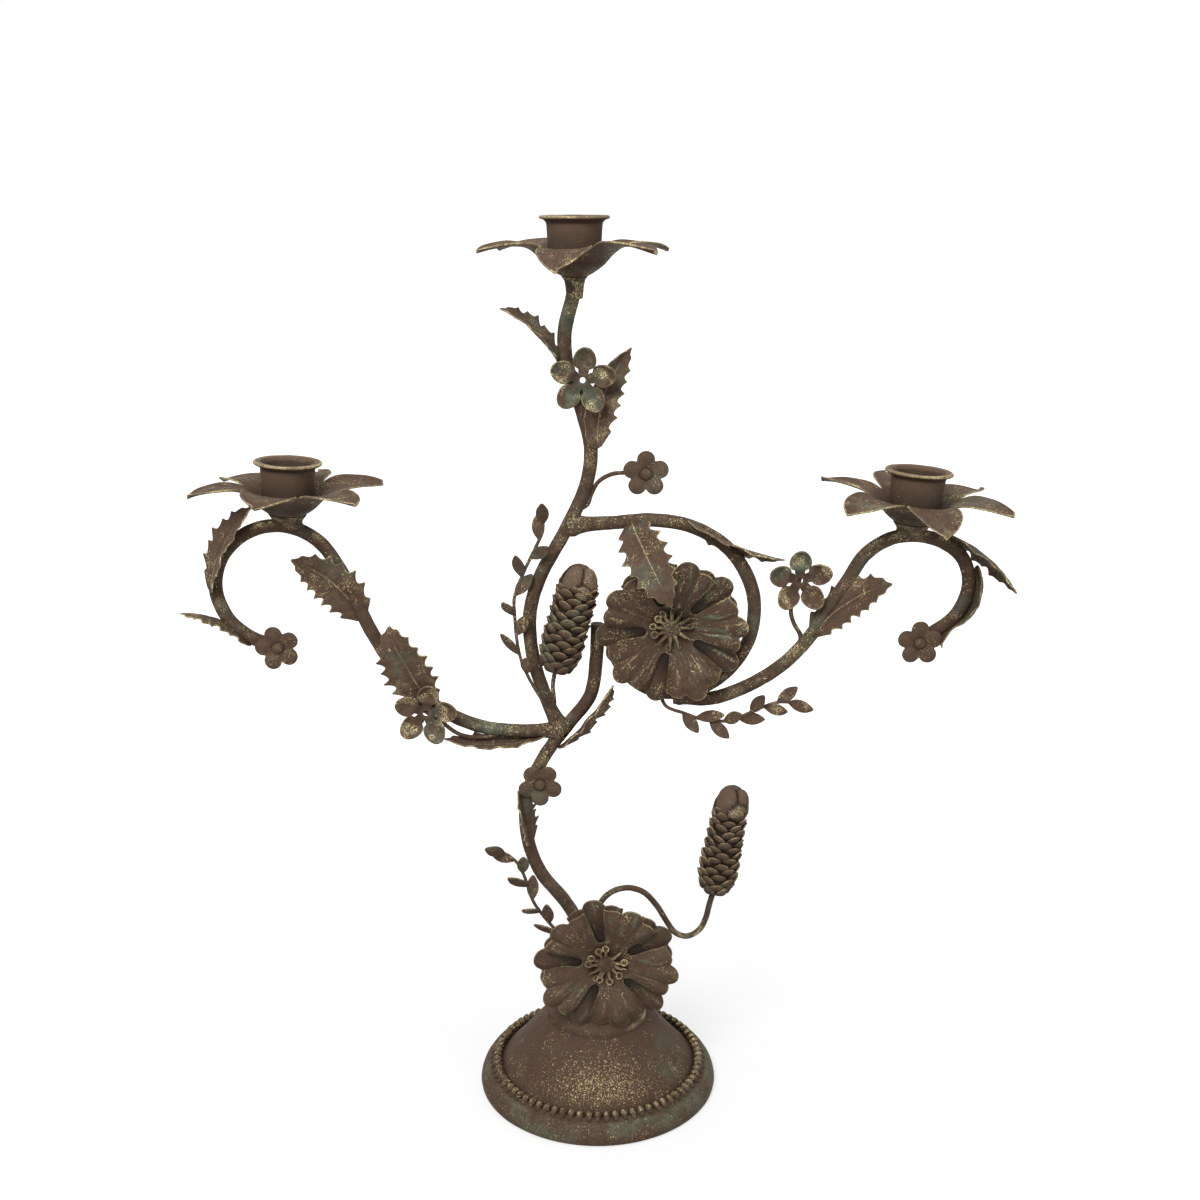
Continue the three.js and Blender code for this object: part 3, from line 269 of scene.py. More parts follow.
def aged_finish(name, smears, verdigris, threads, edges=1.0, light=0.0, pale=0.0, mottling=1.0,
                veins=0.0, streaks=False):
    """Matt brown paint over iron, with shade painted darker into its hollows, soft green-grey patches, and
    gold that has stayed on the edges, in smears and in a scatter of fine broken threads."""
    material = bpy.data.materials.new(name)
    paint = Paint(material)

    # the patterns, from coarse to fine, and the marks on the piece
    cloud = paint.noise(22, 3, 0.5, shift=0.31)
    patch = paint.noise(85, 3, 0.6, shift=1.7)
    mottle = paint.noise(250, 4, 0.62)
    fleck = paint.noise(430, 3, 0.6, shift=3.1)
    grain = paint.noise(1000, 3, 0.7, shift=0.9)
    speck = paint.noise(1500, 2, 0.6, shift=7.7)
    # The wear, gilt and smear marks are real gold on most pieces. On the rods, the beads and the stamen
    # stalks, part of them is a painted highlight on the sides that face the light. The shade mark is painted
    # shade.
    worn = paint.attribute("wear")
    hollow = paint.attribute("hollow")
    gilded = paint.attribute("gilded")
    smeared = paint.attribute("smeared")
    patina = paint.attribute("patina")
    across = paint.attribute("across")
    if streaks:
        # drawn out along the petal
        along = paint.both(paint.attribute("along"), 0.3)
        aside = paint.both(across, 1.8)
        flow = paint.node("ShaderNodeCombineXYZ", None, {"X": aside, "Y": along}).outputs[0]
        green = paint.noise(2.4, 3, 0.5, place=flow)
        smear = paint.noise(3.6, 3, 0.55, shift=5.3, place=flow)
    else:
        green = paint.noise(55, 3, 0.5, shift=4.2)
        smear = paint.noise(70, 3, 0.6, shift=6.1)

    # the brown paint
    patches = paint.blend(paint.step(mottle, 0.36, 0.66), BROWN_DARK, BROWN_LIGHT)
    brown = paint.blend(mottling, BROWN, patches)
    brown = paint.blend(paint.both(paint.step(cloud, 0.4, 0.65), 0.5), brown, BROWN_CLOUD)
    brown = paint.blend(paint.both(paint.step(grain, 0.5, 0.74), 0.22 + light), brown, BROWN_GRAIN)
    brown = paint.blend(paint.both(paint.step(fleck, 0.6, 0.74), 0.55 * mottling), brown, PIT_BLACK)
    brown = paint.blend(pale, brown, BROWN_PALE)

    # the green-grey
    stain = paint.both(paint.step(green, 0.52, 0.66), paint.step(cloud, 0.38, 0.58), verdigris)
    stain = paint.sum("MAXIMUM", stain, paint.both(paint.step(green, 0.34, 0.62), patina))
    stain = paint.both(stain, paint.step(fleck, 0.25, 0.5))
    green_grey = paint.blend(paint.step(mottle, 0.35, 0.65), PATINA_DEEP, PATINA_PALE)
    colour = paint.blend(stain, brown, green_grey)

    relief = paint.sum("ADD", paint.both(mottle, 0.9), paint.both(grain, 0.55))
    if veins:
        bent = paint.sum("ADD", across, paint.both(mottle, 0.12))
        ridge = paint.step(paint.sum("SINE", paint.both(bent, veins)), -0.2, 1.0)
        ridge = paint.both(ridge, paint.step(patch, 0.42, 0.62))
        relief = paint.sum("ADD", relief, paint.both(ridge, 0.4))
        colour = paint.blend(paint.both(ridge, 0.16), colour, VEIN_BROWN)

    # the gold: threads follow the line where a noise passes its middle, and are broken up by the grain
    off_line = paint.sum("ABSOLUTE", paint.sum("SUBTRACT", paint.noise(820, 2, 0.6, shift=2.3), 0.5))
    thread = paint.sum("SUBTRACT", 1.0, paint.step(off_line, 0.02, 0.06))
    scatter = paint.sum("MAXIMUM", paint.both(paint.step(patch, 0.5, 0.64), threads), gilded)
    kept = paint.sum("ADD", grain, paint.both(scatter, 0.2))
    thread = paint.both(thread, paint.step(kept, 0.6, 0.66), paint.step(scatter, 0.02, 0.12))
    brushed = paint.sum("MAXIMUM", paint.both(paint.step(smear, 0.56, 0.68), smears), smeared)
    brushed = paint.both(brushed, paint.step(speck, 0.46, 0.56))
    edge = paint.both(paint.step(worn, 0.35, 0.9), paint.step(grain, 0.3, 0.48), edges)
    edge = paint.both(edge, paint.sum("ADD", 0.35, paint.both(paint.step(patch, 0.44, 0.56), 0.65)))
    gold = paint.sum("MAXIMUM", paint.sum("MAXIMUM", thread, brushed), edge)
    colour = paint.blend(gold, colour, paint.blend(paint.step(speck, 0.42, 0.62), GOLD_DULL, GOLD_BRIGHT))
    # Painted shade: the colour darkens towards near-black where a piece marks shade in its recesses,
    # creases, undersides and the gaps between parts.
    colour = paint.blend(paint.both(hollow, 0.88), colour, HOLLOW_BLACK)

    rough = paint.node("ShaderNodeMapRange", None, {
        "Value": mottle, "From Min": 0.25, "From Max": 0.75, "To Min": 0.58, "To Max": 0.84,
    }).outputs["Result"]
    rough = paint.sum("SUBTRACT", rough, paint.both(gold, 0.2))
    bump = paint.node("ShaderNodeBump", None, {
        "Strength": 0.6, "Distance": 0.35 * MM, "Height": paint.sum("ADD", relief, paint.both(gold, 0.2)),
    }).outputs["Normal"]
    shader = paint.node("ShaderNodeBsdfPrincipled", None, {
        "Base Color": colour, "Roughness": rough, "Normal": bump,
        "Metallic": paint.both(gold, 0.25), "Specular IOR Level": 0.18,
    })
    paint.node("ShaderNodeOutputMaterial", None, {"Surface": shader.outputs[0]})
    return material


rod_finish = aged_finish("rod_iron", smears=0.25, verdigris=0.35, threads=0.58, light=0.12, mottling=0.7)
dome_finish = aged_finish("dome_iron", smears=0.03, verdigris=0.12, threads=0.25, mottling=0.35)
cup_finish = aged_finish(
    "cup_iron", smears=0.06, verdigris=0.7, threads=0.15, edges=0.7, pale=0.55, mottling=0.5)
leaf_finish = aged_finish(
    "leaf_iron", smears=0.3, verdigris=0.45, threads=0.62, edges=0.85, light=0.3, pale=0.16, mottling=0.8)
petal_finish = aged_finish(
    "petal_iron", smears=0.6, verdigris=1.0, threads=0.42, edges=0.7, light=0.1, mottling=0.5, streaks=True)
plain_petal_finish = aged_finish(
    "plain_petal_iron", smears=0.25, verdigris=0.6, threads=0.28, edges=0.55, light=0.1, pale=0.08,
    mottling=0.4, streaks=True)
flat_finish = aged_finish(
    "flat_petal_iron", smears=0.12, verdigris=0.3, threads=0.22, edges=0.6, light=0.2, pale=0.14,
    mottling=0.6)
dish_finish = aged_finish(
    "dish_iron", smears=0.2, verdigris=0.45, threads=0.5, edges=0.75, light=0.15, mottling=0.7, veins=26)
spoon_finish = aged_finish(
    "spoon_iron", smears=0.4, verdigris=0.8, threads=0.5, edges=0.45, light=0.15, pale=0.12)
gold_finish = aged_finish("gilded_iron", smears=0.4, verdigris=0.2, threads=0.6, light=0.12, pale=0.1)
bead_finish = aged_finish("bead_iron", smears=0.1, verdigris=0.5, threads=0.3, edges=0.7, light=0.1)
cone_finish = aged_finish(
    "cone_iron", smears=0.2, verdigris=1.0, threads=0.3, edges=0.55, light=0.2, pale=0.36)


# Making pieces

def only(piece):
    """Makes a piece the one that the operators act on."""
    bpy.ops.object.select_all(action="DESELECT")
    piece.select_set(True)
    bpy.context.view_layer.objects.active = piece
    return piece


def mark(piece, **rules):
    """Writes a value per vertex, which the finishes read. Each rule is a number, a list of numbers
    or a function of the vertex."""
    for name, rule in rules.items():
        spots = piece.data.vertices
        values = [rule(spot) for spot in spots] if callable(rule) else np.broadcast_to(rule, len(spots))
        layer = piece.data.attributes.get(name) or piece.data.attributes.new(name, "FLOAT", "POINT")
        layer.data.foreach_set("value", np.array(values, np.float32))
    return piece


def off_axis(vertex):
    """How far a vertex is from the upright through the middle of its piece."""
    return hypot(vertex.co.x, vertex.co.y)


def blank(name, columns, rows, bend):
    """A grid of sheet, each point of it bent to its place. bend gives a column and row their
    point, how worn it is, how much painted shade it takes, and how far across and along the sheet it lies."""
    bpy.ops.object.select_all(action="DESELECT")
    bpy.ops.mesh.primitive_grid_add(x_subdivisions=columns, y_subdivisions=rows, size=2)
    sheet = bpy.context.object
    sheet.name = sheet.data.name = name
    values = []
    for vertex in sheet.data.vertices:
        column = round((vertex.co.x + 1) / 2 * columns)
        row = round((vertex.co.y + 1) / 2 * rows)
        vertex.co, *rest = bend(column, row)
        values.append(rest)
    worn, hollow, across, along = zip(*values)
    return mark(sheet, wear=worn, hollow=hollow, across=across, along=along)


def apply(piece, kind, **settings):
    only(piece)
    modifier = piece.modifiers.new(kind.title(), kind)
    for key, value in settings.items():
        setattr(modifier, key, value)
    bpy.ops.object.modifier_apply(modifier=modifier.name)
    return piece


def weld(piece, distance=0.02):
    only(piece)
    bpy.ops.object.mode_set(mode="EDIT")
    bpy.ops.mesh.select_all(action="SELECT")
    bpy.ops.mesh.remove_doubles(threshold=distance)
    bpy.ops.mesh.normals_make_consistent(inside=False)
    bpy.ops.object.mode_set(mode="OBJECT")
    return piece


def thicken(piece, sheet, rounds=1):
    apply(piece, "SOLIDIFY", thickness=sheet, offset=0)
    if rounds:
        apply(piece, "SUBSURF", levels=rounds, render_levels=rounds)
    return piece


def placed(piece, name, matrix):
    """A copy with its own mesh, moved by a matrix."""
    copy = piece.copy()
    copy.data = piece.data.copy()
    copy.name = copy.data.name = name
    bpy.context.scene.collection.objects.link(copy)
    copy.data.transform(matrix)
    return copy


def joined(name, parts):
    only(parts[0])
    for part in parts:
        part.select_set(True)
    bpy.ops.object.join()
    whole = bpy.context.object
    whole.name = whole.data.name = name
    return whole


def turned(name, profile, segments=64):
    """Spins a profile of (radius, height) points round the Z axis."""
    mesh = bpy.data.meshes.new(name)
    mesh.from_pydata([(radius, 0, height) for radius, height in profile],
                     [(at, at + 1) for at in range(len(profile) - 1)], [])
    piece = bpy.data.objects.new(name, mesh)
    bpy.context.scene.collection.objects.link(piece)
    only(piece)
    bpy.ops.object.mode_set(mode="EDIT")
    bpy.ops.mesh.select_all(action="SELECT")
    bpy.ops.mesh.spin(steps=segments, angle=2 * pi, center=(0, 0, 0), axis=(0, 0, 1))
    bpy.ops.object.mode_set(mode="OBJECT")
    return weld(piece, 0.005)


def rounded(points, corner=0.6, steps=3):
    """A profile with its inner corners rounded off."""
    path = [points[0]]
    for before, here, after in zip(points, points[1:], points[2:]):
        here = Vector(here)
        back, ahead = Vector(before) - here, Vector(after) - here
        cut = min(corner, back.length / 2.1, ahead.length / 2.1)
        start, end = here + back.normalized() * cut, here + ahead.normalized() * cut
        for step in range(steps + 1):
            t = step / steps
            path.append(tuple(start * (1 - t) ** 2 + here * 2 * t * (1 - t) + end * t ** 2))
    return [*path, points[-1]]


def drawn(name, line, diameter, spacing=1.8, swell=None, resolution=6):
    """A round bar or wire along a route, thicker by swell(travel, length) where it is welded."""
    count = max(6, round(line.length / spacing))
    curve = bpy.data.curves.new(name, "CURVE")
    curve.dimensions = "3D"
    curve.bevel_depth = diameter / 2
    curve.bevel_resolution = resolution
    curve.use_fill_caps = True
    spline = curve.splines.new("POLY")
    spline.points.add(count)
    for at, point in enumerate(spline.points):
        share = at / count
        point.co = (*line.at(share), 1)
        point.radius = swell(share * line.length, line.length) if swell else 1
    piece = bpy.data.objects.new(name, curve)
    bpy.context.scene.collection.objects.link(piece)
    only(piece)
    bpy.ops.object.convert(target="MESH")
    return weld(bpy.context.object, 0.001)


def roughen(piece, amount, per_mm=0.18):
    """Small lumps in the metal, which move each point along its normal."""
    for vertex in piece.data.vertices:
        lump = noise.noise(vertex.co * per_mm) + 0.5 * noise.noise(vertex.co * per_mm * 3.1)
        vertex.co += vertex.normal * lump * amount
    return piece


def settle(piece, slot, finish, *nodes, angle=40, stand=None):
    """Takes a finished piece into the frame: on its stand, in metres, painted, and in its node's
    place."""
    if stand:
        piece.data.transform(stand)
    piece.data.transform(piece.matrix_world)
    piece.matrix_world = Matrix.Identity(4)
    piece.data.transform(Matrix.Scale(MM, 4))
    only(piece)
    bpy.ops.object.shade_smooth_by_angle(angle=radians(angle))
    piece.data.materials.clear()
    piece.data.materials.append(finish)
    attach(piece, "root")
    if nodes:
        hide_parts(*nodes)
    return piece


def level(pairs, position):
    """The height of a line through (position, height) pairs."""
    return float(np.interp(position, [pair[0] for pair in pairs], [pair[1] for pair in pairs]))


def ease(value, low, high):
    share = min(1, max(0, (value - low) / (high - low)))
    return share * share * (3 - 2 * share)


def bell(value, width):
    return exp(-(value / width) ** 2)


# Base

DOME_PROFILE = [
    (0.0586, 0.998), (0.15, 0.995), (0.2, 0.99), (0.26, 0.98), (0.3, 0.967), (0.34, 0.95), (0.37, 0.93),
    (0.388, 0.908), (0.398, 0.893), (0.404, 0.876), (0.41, 0.858), (0.42, 0.843), (0.44, 0.822),
    (0.5, 0.752), (0.555, 0.662), (0.61, 0.57), (0.665, 0.475), (0.72, 0.385), (0.765, 0.32),
    (0.798, 0.272), (0.812, 0.243), (0.825, 0.23), (0.84, 0.229), (0.863, 0.235), (0.9, 0.235),
    (0.935, 0.212), (0.96, 0.18), (0.982, 0.135), (0.995, 0.085), (1, 0.045), (0.996, 0.015), (0.985, 0),
]
STEP_SHARE = 0.405
BEAD_CENTRE_R = 0.863 * BASE_R
BEAD_FLOOR = 0.235 * DOME_H
BEAD_LONG = 3.3
BEAD_WIDE = 1.95
BEAD_TALL = 2.4
# The strip under the beads: how far from their centre, and how far over their floor
BAND_PROFILE = [(-2.5, -0.6), (-2.1, 0.5), (0, 0.8), (2.1, 0.35), (2.7, -0.9), (-2.5, -0.6)]


def make_dome():
    outer = [(radius * BASE_R, height * DOME_H) for radius, height in DOME_PROFILE]
    inner = [(radius - 1.1, height - DOME_WALL) for radius, height in outer[1:-5:2]]
    foot = [(outer[-1][0] - DOME_WALL, 0)]
    ceiling = [(ROD_D / 2 + FIT, DOME_H - DOME_WALL)]
    dome = turned("base_shell", [*outer, *foot, *reversed(inner), *ceiling, outer[0]], 120)
    worn, hollow, gilded, patina = [], [], [], []
    for vertex in dome.data.vertices:
        radius = off_axis(vertex) / BASE_R
        turn = degrees(atan2(vertex.co.y, vertex.co.x))
        on_right = ease(turn, -75, -45) * ease(15 - turn, 0, 30)
        worn.append(0.75 * on_right * bell(radius - STEP_SHARE, 0.02))
        # Painted shade: darker just under the cap's step and in the dip beside the beads.
        under_step = 0.5 * bell(radius - 0.418, 0.014)
        by_beads = 0.85 * bell(radius - 0.82, 0.016)
        hollow.append(max(under_step, by_beads) if vertex.co.z > 3 else 0)
        centred = bell(turn + 86, 34) * bell(radius - 0.68, 0.13) * ease(0.8 - radius, 0, 0.04)
        on_foot = ease(radius, 0.9, 0.93)
        gilded.append(max(0.8 * centred, 0.08 * on_foot))
        on_side = ease(radius, 0.5, 0.6) * ease(0.8 - radius, 0, 0.1) * bell(turn + 25, 18)
        patina.append(max(0.45 * on_foot, 0.5 * on_side))
    mark(dome, wear=worn, hollow=hollow, gilded=gilded, patina=patina)
    roughen(dome, 0.12, 0.07)
    # no lump stands over the foot's edge or under its rim
    for vertex in dome.data.vertices:
        inwards = min(1, BASE_R / max(1, off_axis(vertex)))
        vertex.co = (vertex.co.x * inwards, vertex.co.y * inwards, max(0, vertex.co.z))
    settle(dome, "rod_iron", dome_finish, "base_dome")


def bead_pattern():
    """A bead with a tongue that runs outwards, at the place of its centre on the ring."""
    bpy.ops.object.select_all(action="DESELECT")
    bpy.ops.mesh.primitive_uv_sphere_add(segments=10, ring_count=8, radius=1)
    bead = bpy.context.object
    for vertex in bead.data.vertices:
        out = ease(vertex.co.x, 0, 1)
        vertex.co = (vertex.co.x * BEAD_LONG + 0.6, vertex.co.y * (BEAD_WIDE - 0.5 * out),
                     vertex.co.z * (BEAD_TALL - 1.1 * out) + BEAD_FLOOR + 1.4 - 1.3 * out)

    # Painted highlight: gold along the top of the bead on its lit side.
    def wear(vertex):
        _, aside, up = vertex.co
        return 0.85 * ease(up, BEAD_FLOOR + 1.6, BEAD_FLOOR + 3.2) * ease(1.2 - abs(aside + 0.7), 0, 0.8)

    def gilded(vertex):
        out, _, up = vertex.co
        return 0.6 * ease(up, BEAD_FLOOR + 0.6, BEAD_FLOOR + 2) * ease(2.4 - out, 0, 1)

    # Painted shade: darker at the bead's foot and along its sides, between neighbouring beads.
    def hollow(vertex):
        out, aside, up = vertex.co
        foot = 0.9 * ease(BEAD_FLOOR + 1.2 - up, 0, 1.2) * ease(1.6 - out, 0, 1.4)
        return max(foot, 0.4 * ease(abs(aside), 1.3, 1.9))

    return mark(bead, wear=wear, gilded=gilded, hollow=hollow)


def make_beads():
    bead = bead_pattern()
    beads = []
    for at in range(BEAD_COUNT):
        out = BEAD_CENTRE_R + 0.12 * sin(at * 2.4)
        stand = Matrix.Rotation(2 * pi * at / BEAD_COUNT, 4, "Z") @ move((out, 0, 0))
        stand = stand @ Matrix.Rotation(0.18 * sin(at * 1.7), 4, "Z")
        beads.append(placed(bead, f"bead_{at}", stand))
    bpy.data.objects.remove(bead)
    band = turned("bead_band", [(BEAD_CENTRE_R + out, BEAD_FLOOR + up) for out, up in BAND_PROFILE], 96)
    # Painted shade: the strip darkens on its inner side, under the beads.
    mark(band, wear=0, hollow=lambda vertex: 0.9 * ease(BEAD_CENTRE_R + 2.4 - off_axis(vertex), 0, 1.4))
    settle(joined("beaded_ring", [band, *beads]), "gilded_iron", bead_finish, "bead_ring", angle=60)


# Rods and wires

def foot_swell(host_d=ROD_D, extra=0.7, reach=4.0):
    """A welded end that flares out to meet the rod it stands on."""
    def swell(travel, length):
        return 1 + extra * exp(-max(0, travel - host_d / 2) / reach)
    return swell


# Where one bar is welded to another
WELDS = [("stem", CENTRE_FOOT), ("centre", RING_FOOT), ("ring", RIGHT_FOOT),
         WIRES["lower_flower_wire"][:2], WIRES["right_flower_wire"][:2]]
# Where the green-grey has gathered: the rod, the share along it and the reach in millimetres
PATINA_PLACES = [("ring", 0.43, 13), ("left", 0.13, 15), ("centre", 0.93, 9), ("centre", 0.52, 9),
                 ("centre", 0.13, 10), ("right", 0.36, 12), ("stem", 0.3, 12), ("left", 0.9, 8)]
# Wires whose gold has stayed all over, and how much of it
GILT_WIRES = {"right_flower_wire": 0.75, "lower_cone_wire": 0.25}
PLAIN_WIRE_GILT = 0.12
# The lower flower: its place on the stem, how far it stands to the right and to the front of it,
# and where the points of its post's bow lie
LOWER_FLOWER_AT = 0.186
LOWER_FLOWER_ASIDE = 9
LOWER_FLOWER_FORWARD = 14
POST_STEPS = (0, 0.25, 0.5, 0.75, 1)


def before(line, share, diameter):
    """The place in front of a rod or wire, clear of it."""
    return line.at(share) + FRONT * (diameter / 2 + FIT)


def lower_flower_place():
    return before(stem, LOWER_FLOWER_AT, ROD_D) + Vector((LOWER_FLOWER_ASIDE, -LOWER_FLOWER_FORWARD, 0))


def make_rods():
    jobs = [
        ("stem_rod", stem, "base_stem", None), ("centre_rod", centre, "centre_stem", foot_swell()),
        ("left_arm_rod", left, "left_arm", foot_swell()), ("ring_rod", ring, "scroll_ring", foot_swell()),
        ("right_arm_rod", right, "right_arm", foot_swell()),
    ]
    welds = [RODS[host].at(share) for host, share in WELDS]
    seats = [RODS[host].at(share) for host, share, *_ in HOLDERS.values()]
    greens = [(RODS[host].at(share), reach) for host, share, reach in PATINA_PLACES]
    for name, line, node, swell in jobs:
        piece = roughen(drawn(name, line, ROD_D, 1.8, swell), 0.14)
        gilded, smeared, hollow, patina = [], [], [], []
        for vertex in piece.data.vertices:
            near = min((vertex.co - foot).length for foot in welds)
            patchy = 0.5 + noise.noise(vertex.co * 0.12)
            lit = ease(vertex.normal.z, -0.1, 0.9)
            by_seat = ease(36 - min((vertex.co - seat).length for seat in seats), 0, 24)
            # Gold near the welds is real. The share on upward-facing sides, and keeping the smears to them,
            # is a painted highlight.
            gilded.append(0.7 * ease(16 - near, 0, 12) * patchy + 0.3 * lit * patchy)
            smeared.append(0.8 * by_seat * ease(lit, 0.1, 0.8) * ease(patchy, 0.4, 0.62))
            # Painted shade: the undersides are darker.
            hollow.append(0.25 * ease(-vertex.normal.z, 0.3, 1))
            patina.append(0.8 * max(bell((vertex.co - place).length, reach) for place, reach in greens))
        mark(piece, hollow=hollow, gilded=gilded, smeared=smeared, patina=patina)
        settle(piece, "rod_iron", rod_finish, node, angle=60)
    for name, (_, _, _, _, _, diameter, _) in WIRES.items():
        swell = foot_swell(ROD_D, 0.55, 2.5)
        piece = roughen(drawn(name + "_bar", wires[name], diameter, 1.4, swell, 4), 0.09, 0.3)
        gilt = GILT_WIRES.get(name, PLAIN_WIRE_GILT)
        low = max(wires[name].line[:, 2].min(), wires[name].at(0)[2] - 40) + 12

        def wear(vertex):
            in_dip = name == "lower_cone_wire" and vertex.co.x > 40 and vertex.co.z < low
            return (gilt + 0.5 * in_dip) * (0.6 + noise.noise(vertex.co * 0.3))

        mark(piece, wear=wear)
        settle(piece, "rod_iron", rod_finish, name, angle=60)
    start = stem.at(LOWER_FLOWER_AT)
    end = lower_flower_place() + Vector((0, FIT, 0))
    knee = Vector((end.x, (start.y + end.y) / 2, end.z))
    bow = [start * (1 - t) ** 2 + knee * 2 * t * (1 - t) + end * t ** 2 for t in POST_STEPS]
    post = drawn("flower_post", Route(bow), POST_D, 1.5)
    settle(post, "rod_iron", rod_finish, "lower_flower_post", angle=60)


# Candle holders

CUP_FLOOR_R = 11.7
CUP_MOUTH_R = 13
CUP_WALL = 1
CUP_H = 22.8
CUP_FLOOR = 6.666
RIM_R = 16.5
RIM_ROLL_R = 0.9
DISH_R = 50
DISH_H = 16.4
DISH_LEVELS = [(0.038, 0), (0.103, 0.03), (0.2, 0.19), (0.291, 0.4), (0.35, 0.62), (0.404, 0.79),
               (0.47, 0.905), (0.536, 0.97), (0.6, 0.995), (0.677, 1), (0.8, 0.96), (0.9, 0.885), (1, 0.77)]
# Half the angle that a petal takes up, in degrees, at shares of the dish's radius
DISH_SPREAD = [(0.43, 30), (0.46, 29.6), (0.52, 28.4), (0.6, 26.2), (0.68, 23), (0.78, 17.8),
               (0.87, 12.3), (0.94, 7.2), (0.98, 3.6), (1, 0.5)]
# Each holder: its rod, the seat's share along it, the tilt, the dish's turn and each petal's tip
HOLDERS = {
    "top": ("centre", 1, 0, 21, (0, 0, 0, 0.02, -0.44, 0.03)),
    "left": ("left", 0.643, 3.6, 23, (0.27, 0.15, -0.07, -0.04, 0.15, 0.18)),
    "right": ("right", 0.637, 4, 37, (0.21, 0.39, 0.33, -0.16, -0.4, 0.02)),
}


# The weld under a side dish and the collar under the top one, as (radius, height) from the seat
SADDLE_PROFILE = [(0, 0.2), (5, 0.4), (7.5, 1.6), (9.9, 2.8), (8.9, 1.3), (7.9, -0.1), (7.7, -1.2),
                  (8.4, -2.8), (7.4, -4.4), (0, -5)]
COLLAR_PROFILE = [(3.4, -9.4), (4.1, -9), (4.3, -6), (4.6, -3.6), (4.9, -1.6), (5.4, 0), (6.8, 1.5),
                  (5, 0.7), (3.2, 0.5)]
# A dish petal's rows, as radii, and its columns, as shares of its half width
DISH_ROWS = [1.9, 4.5, 8.5, 12.7, 15, 17, 19, 21.5, 23.5, 26, 29, 32, 35, 38, 41, 43.5, 46, 48, 49.3, DISH_R]
DISH_COLUMNS = [-1, -0.97, -0.88, -0.72, -0.54, -0.36, -0.18, 0, 0.18, 0.36, 0.54, 0.72, 0.88, 0.97, 1]
DISH_BOWL_R = 12.7


def rivet_head(name, head_r, head_h, seat):
    profile = rounded([(head_r - 0.2, seat - 0.4), (head_r, seat), (0.86 * head_r, seat + 0.5 * head_h),
                       (0.5 * head_r, seat + 0.88 * head_h), (0, seat + head_h)], 0.5, 3)
    return turned(name, profile, 24)


def dish_petal(name, turn, tip, seed):
    """A sixth of the bowl with its petal; tip lifts the petal's end, as a share of the bowl's height."""
    twist = 0.9 * sin(seed * 2.1)

    def bend(column, row):
        radius, across = DISH_ROWS[row], DISH_COLUMNS[column]
        free = ease(radius, 20, 31)
        spread = across * level(DISH_SPREAD, radius / DISH_R)
        angle = radians(turn + spread)
        bent = max(0, radius - DISH_BOWL_R) / (DISH_R - DISH_BOWL_R)
        height = DISH_H * (level(DISH_LEVELS, radius / DISH_R) + tip * bent ** 2)
        # gutter and twist, a low midrib, and the hammering
        height += free * (1.7 * across ** 2 - 0.6 + twist * across)
        height += free * 0.4 * bell(across, 0.1)
        height += free * 0.5 * noise.noise(Vector((radius * 0.12, angle * 3, seed)))
        edge = ease(abs(across), 0.93, 1) * ease(radius, 22, 25)
        edge = max(edge, ease(radius, 48.6, 50))
        # Painted shade in the bowl round the cup's foot.
        hollow = 0.75 * ease(19 - radius, 0, 6) * ease(radius, 11, 14)
        place = (radius * cos(angle), radius * sin(angle), height + PETAL_SHEET / 2)
        side = radius * sin(radians(spread)) / 10
        return place, max(edge, 0.3 * free * bell(across, 0.06)), hollow, side, radius / DISH_R

    return blank(name, len(DISH_COLUMNS) - 1, len(DISH_ROWS) - 1, bend)


def candle_cup(name):
    """A cup with a rolled rim and a dimple in its floor, over the rivet through it."""
    rim = CUP_FLOOR + CUP_H
    floor = CUP_FLOOR + CUP_WALL
    roll = [
        (RIM_R + RIM_ROLL_R * cos(radians(angle)), rim + RIM_ROLL_R * sin(radians(angle)))
        for angle in range(-110, 111, 20)
    ]
    wall = rounded([(2, CUP_FLOOR), (CUP_FLOOR_R + CUP_WALL, CUP_FLOOR),
                    (CUP_MOUTH_R + CUP_WALL - 0.1, rim - 2.4), (RIM_R - 0.6, rim - 0.8)], 1.1, 4)
    inside = rounded([(CUP_MOUTH_R + 0.7, rim + 0.6), (CUP_MOUTH_R, rim - 1.2), (CUP_FLOOR_R, floor),
                      (4.1, floor), (3.8, CUP_FLOOR + 0.55), (2, CUP_FLOOR + 0.55)], 0.8, 3)
    cup = turned(name, [*wall, *roll, *inside, (2, CUP_FLOOR)], 72)

    def wear(vertex):
        return 0.9 * ease(off_axis(vertex), RIM_R - 0.8, RIM_R) * ease(vertex.co.z, rim - 0.8, rim)

    # Painted shade: dark inside the cup below its mouth, under the rolled rim, and low on the wall above the
    # dish.
    def hollow(vertex):
        radius, height = off_axis(vertex), vertex.co.z
        if radius < CUP_MOUTH_R + 0.2 and height > CUP_FLOOR + 0.8:
            return 0.9 * ease(rim + 1 - height, 0, 5)
        under_rim = bell(height - rim + 2.2, 1.2) if radius > CUP_MOUTH_R + 0.6 else 0
        return max(0.45 * ease(CUP_FLOOR + 3 - height, 0, 3), 0.5 * under_rim)

    def patina(vertex):
        return 0.6 * bell(vertex.co.z - CUP_FLOOR - 10, 6) * ease(-vertex.co.y, 5, 11)

    roughen(mark(cup, wear=wear, hollow=hollow, patina=patina), 0.16, 0.12)
    for vertex in cup.data.vertices:
        vertex.co.z = min(vertex.co.z, rim + RIM_ROLL_R)
    return cup


def smeared_by(share):
    """Brushed gold in patches, up to a share."""
    return lambda vertex: share * ease(noise.noise(vertex.co * 0.2), 0, 0.3)


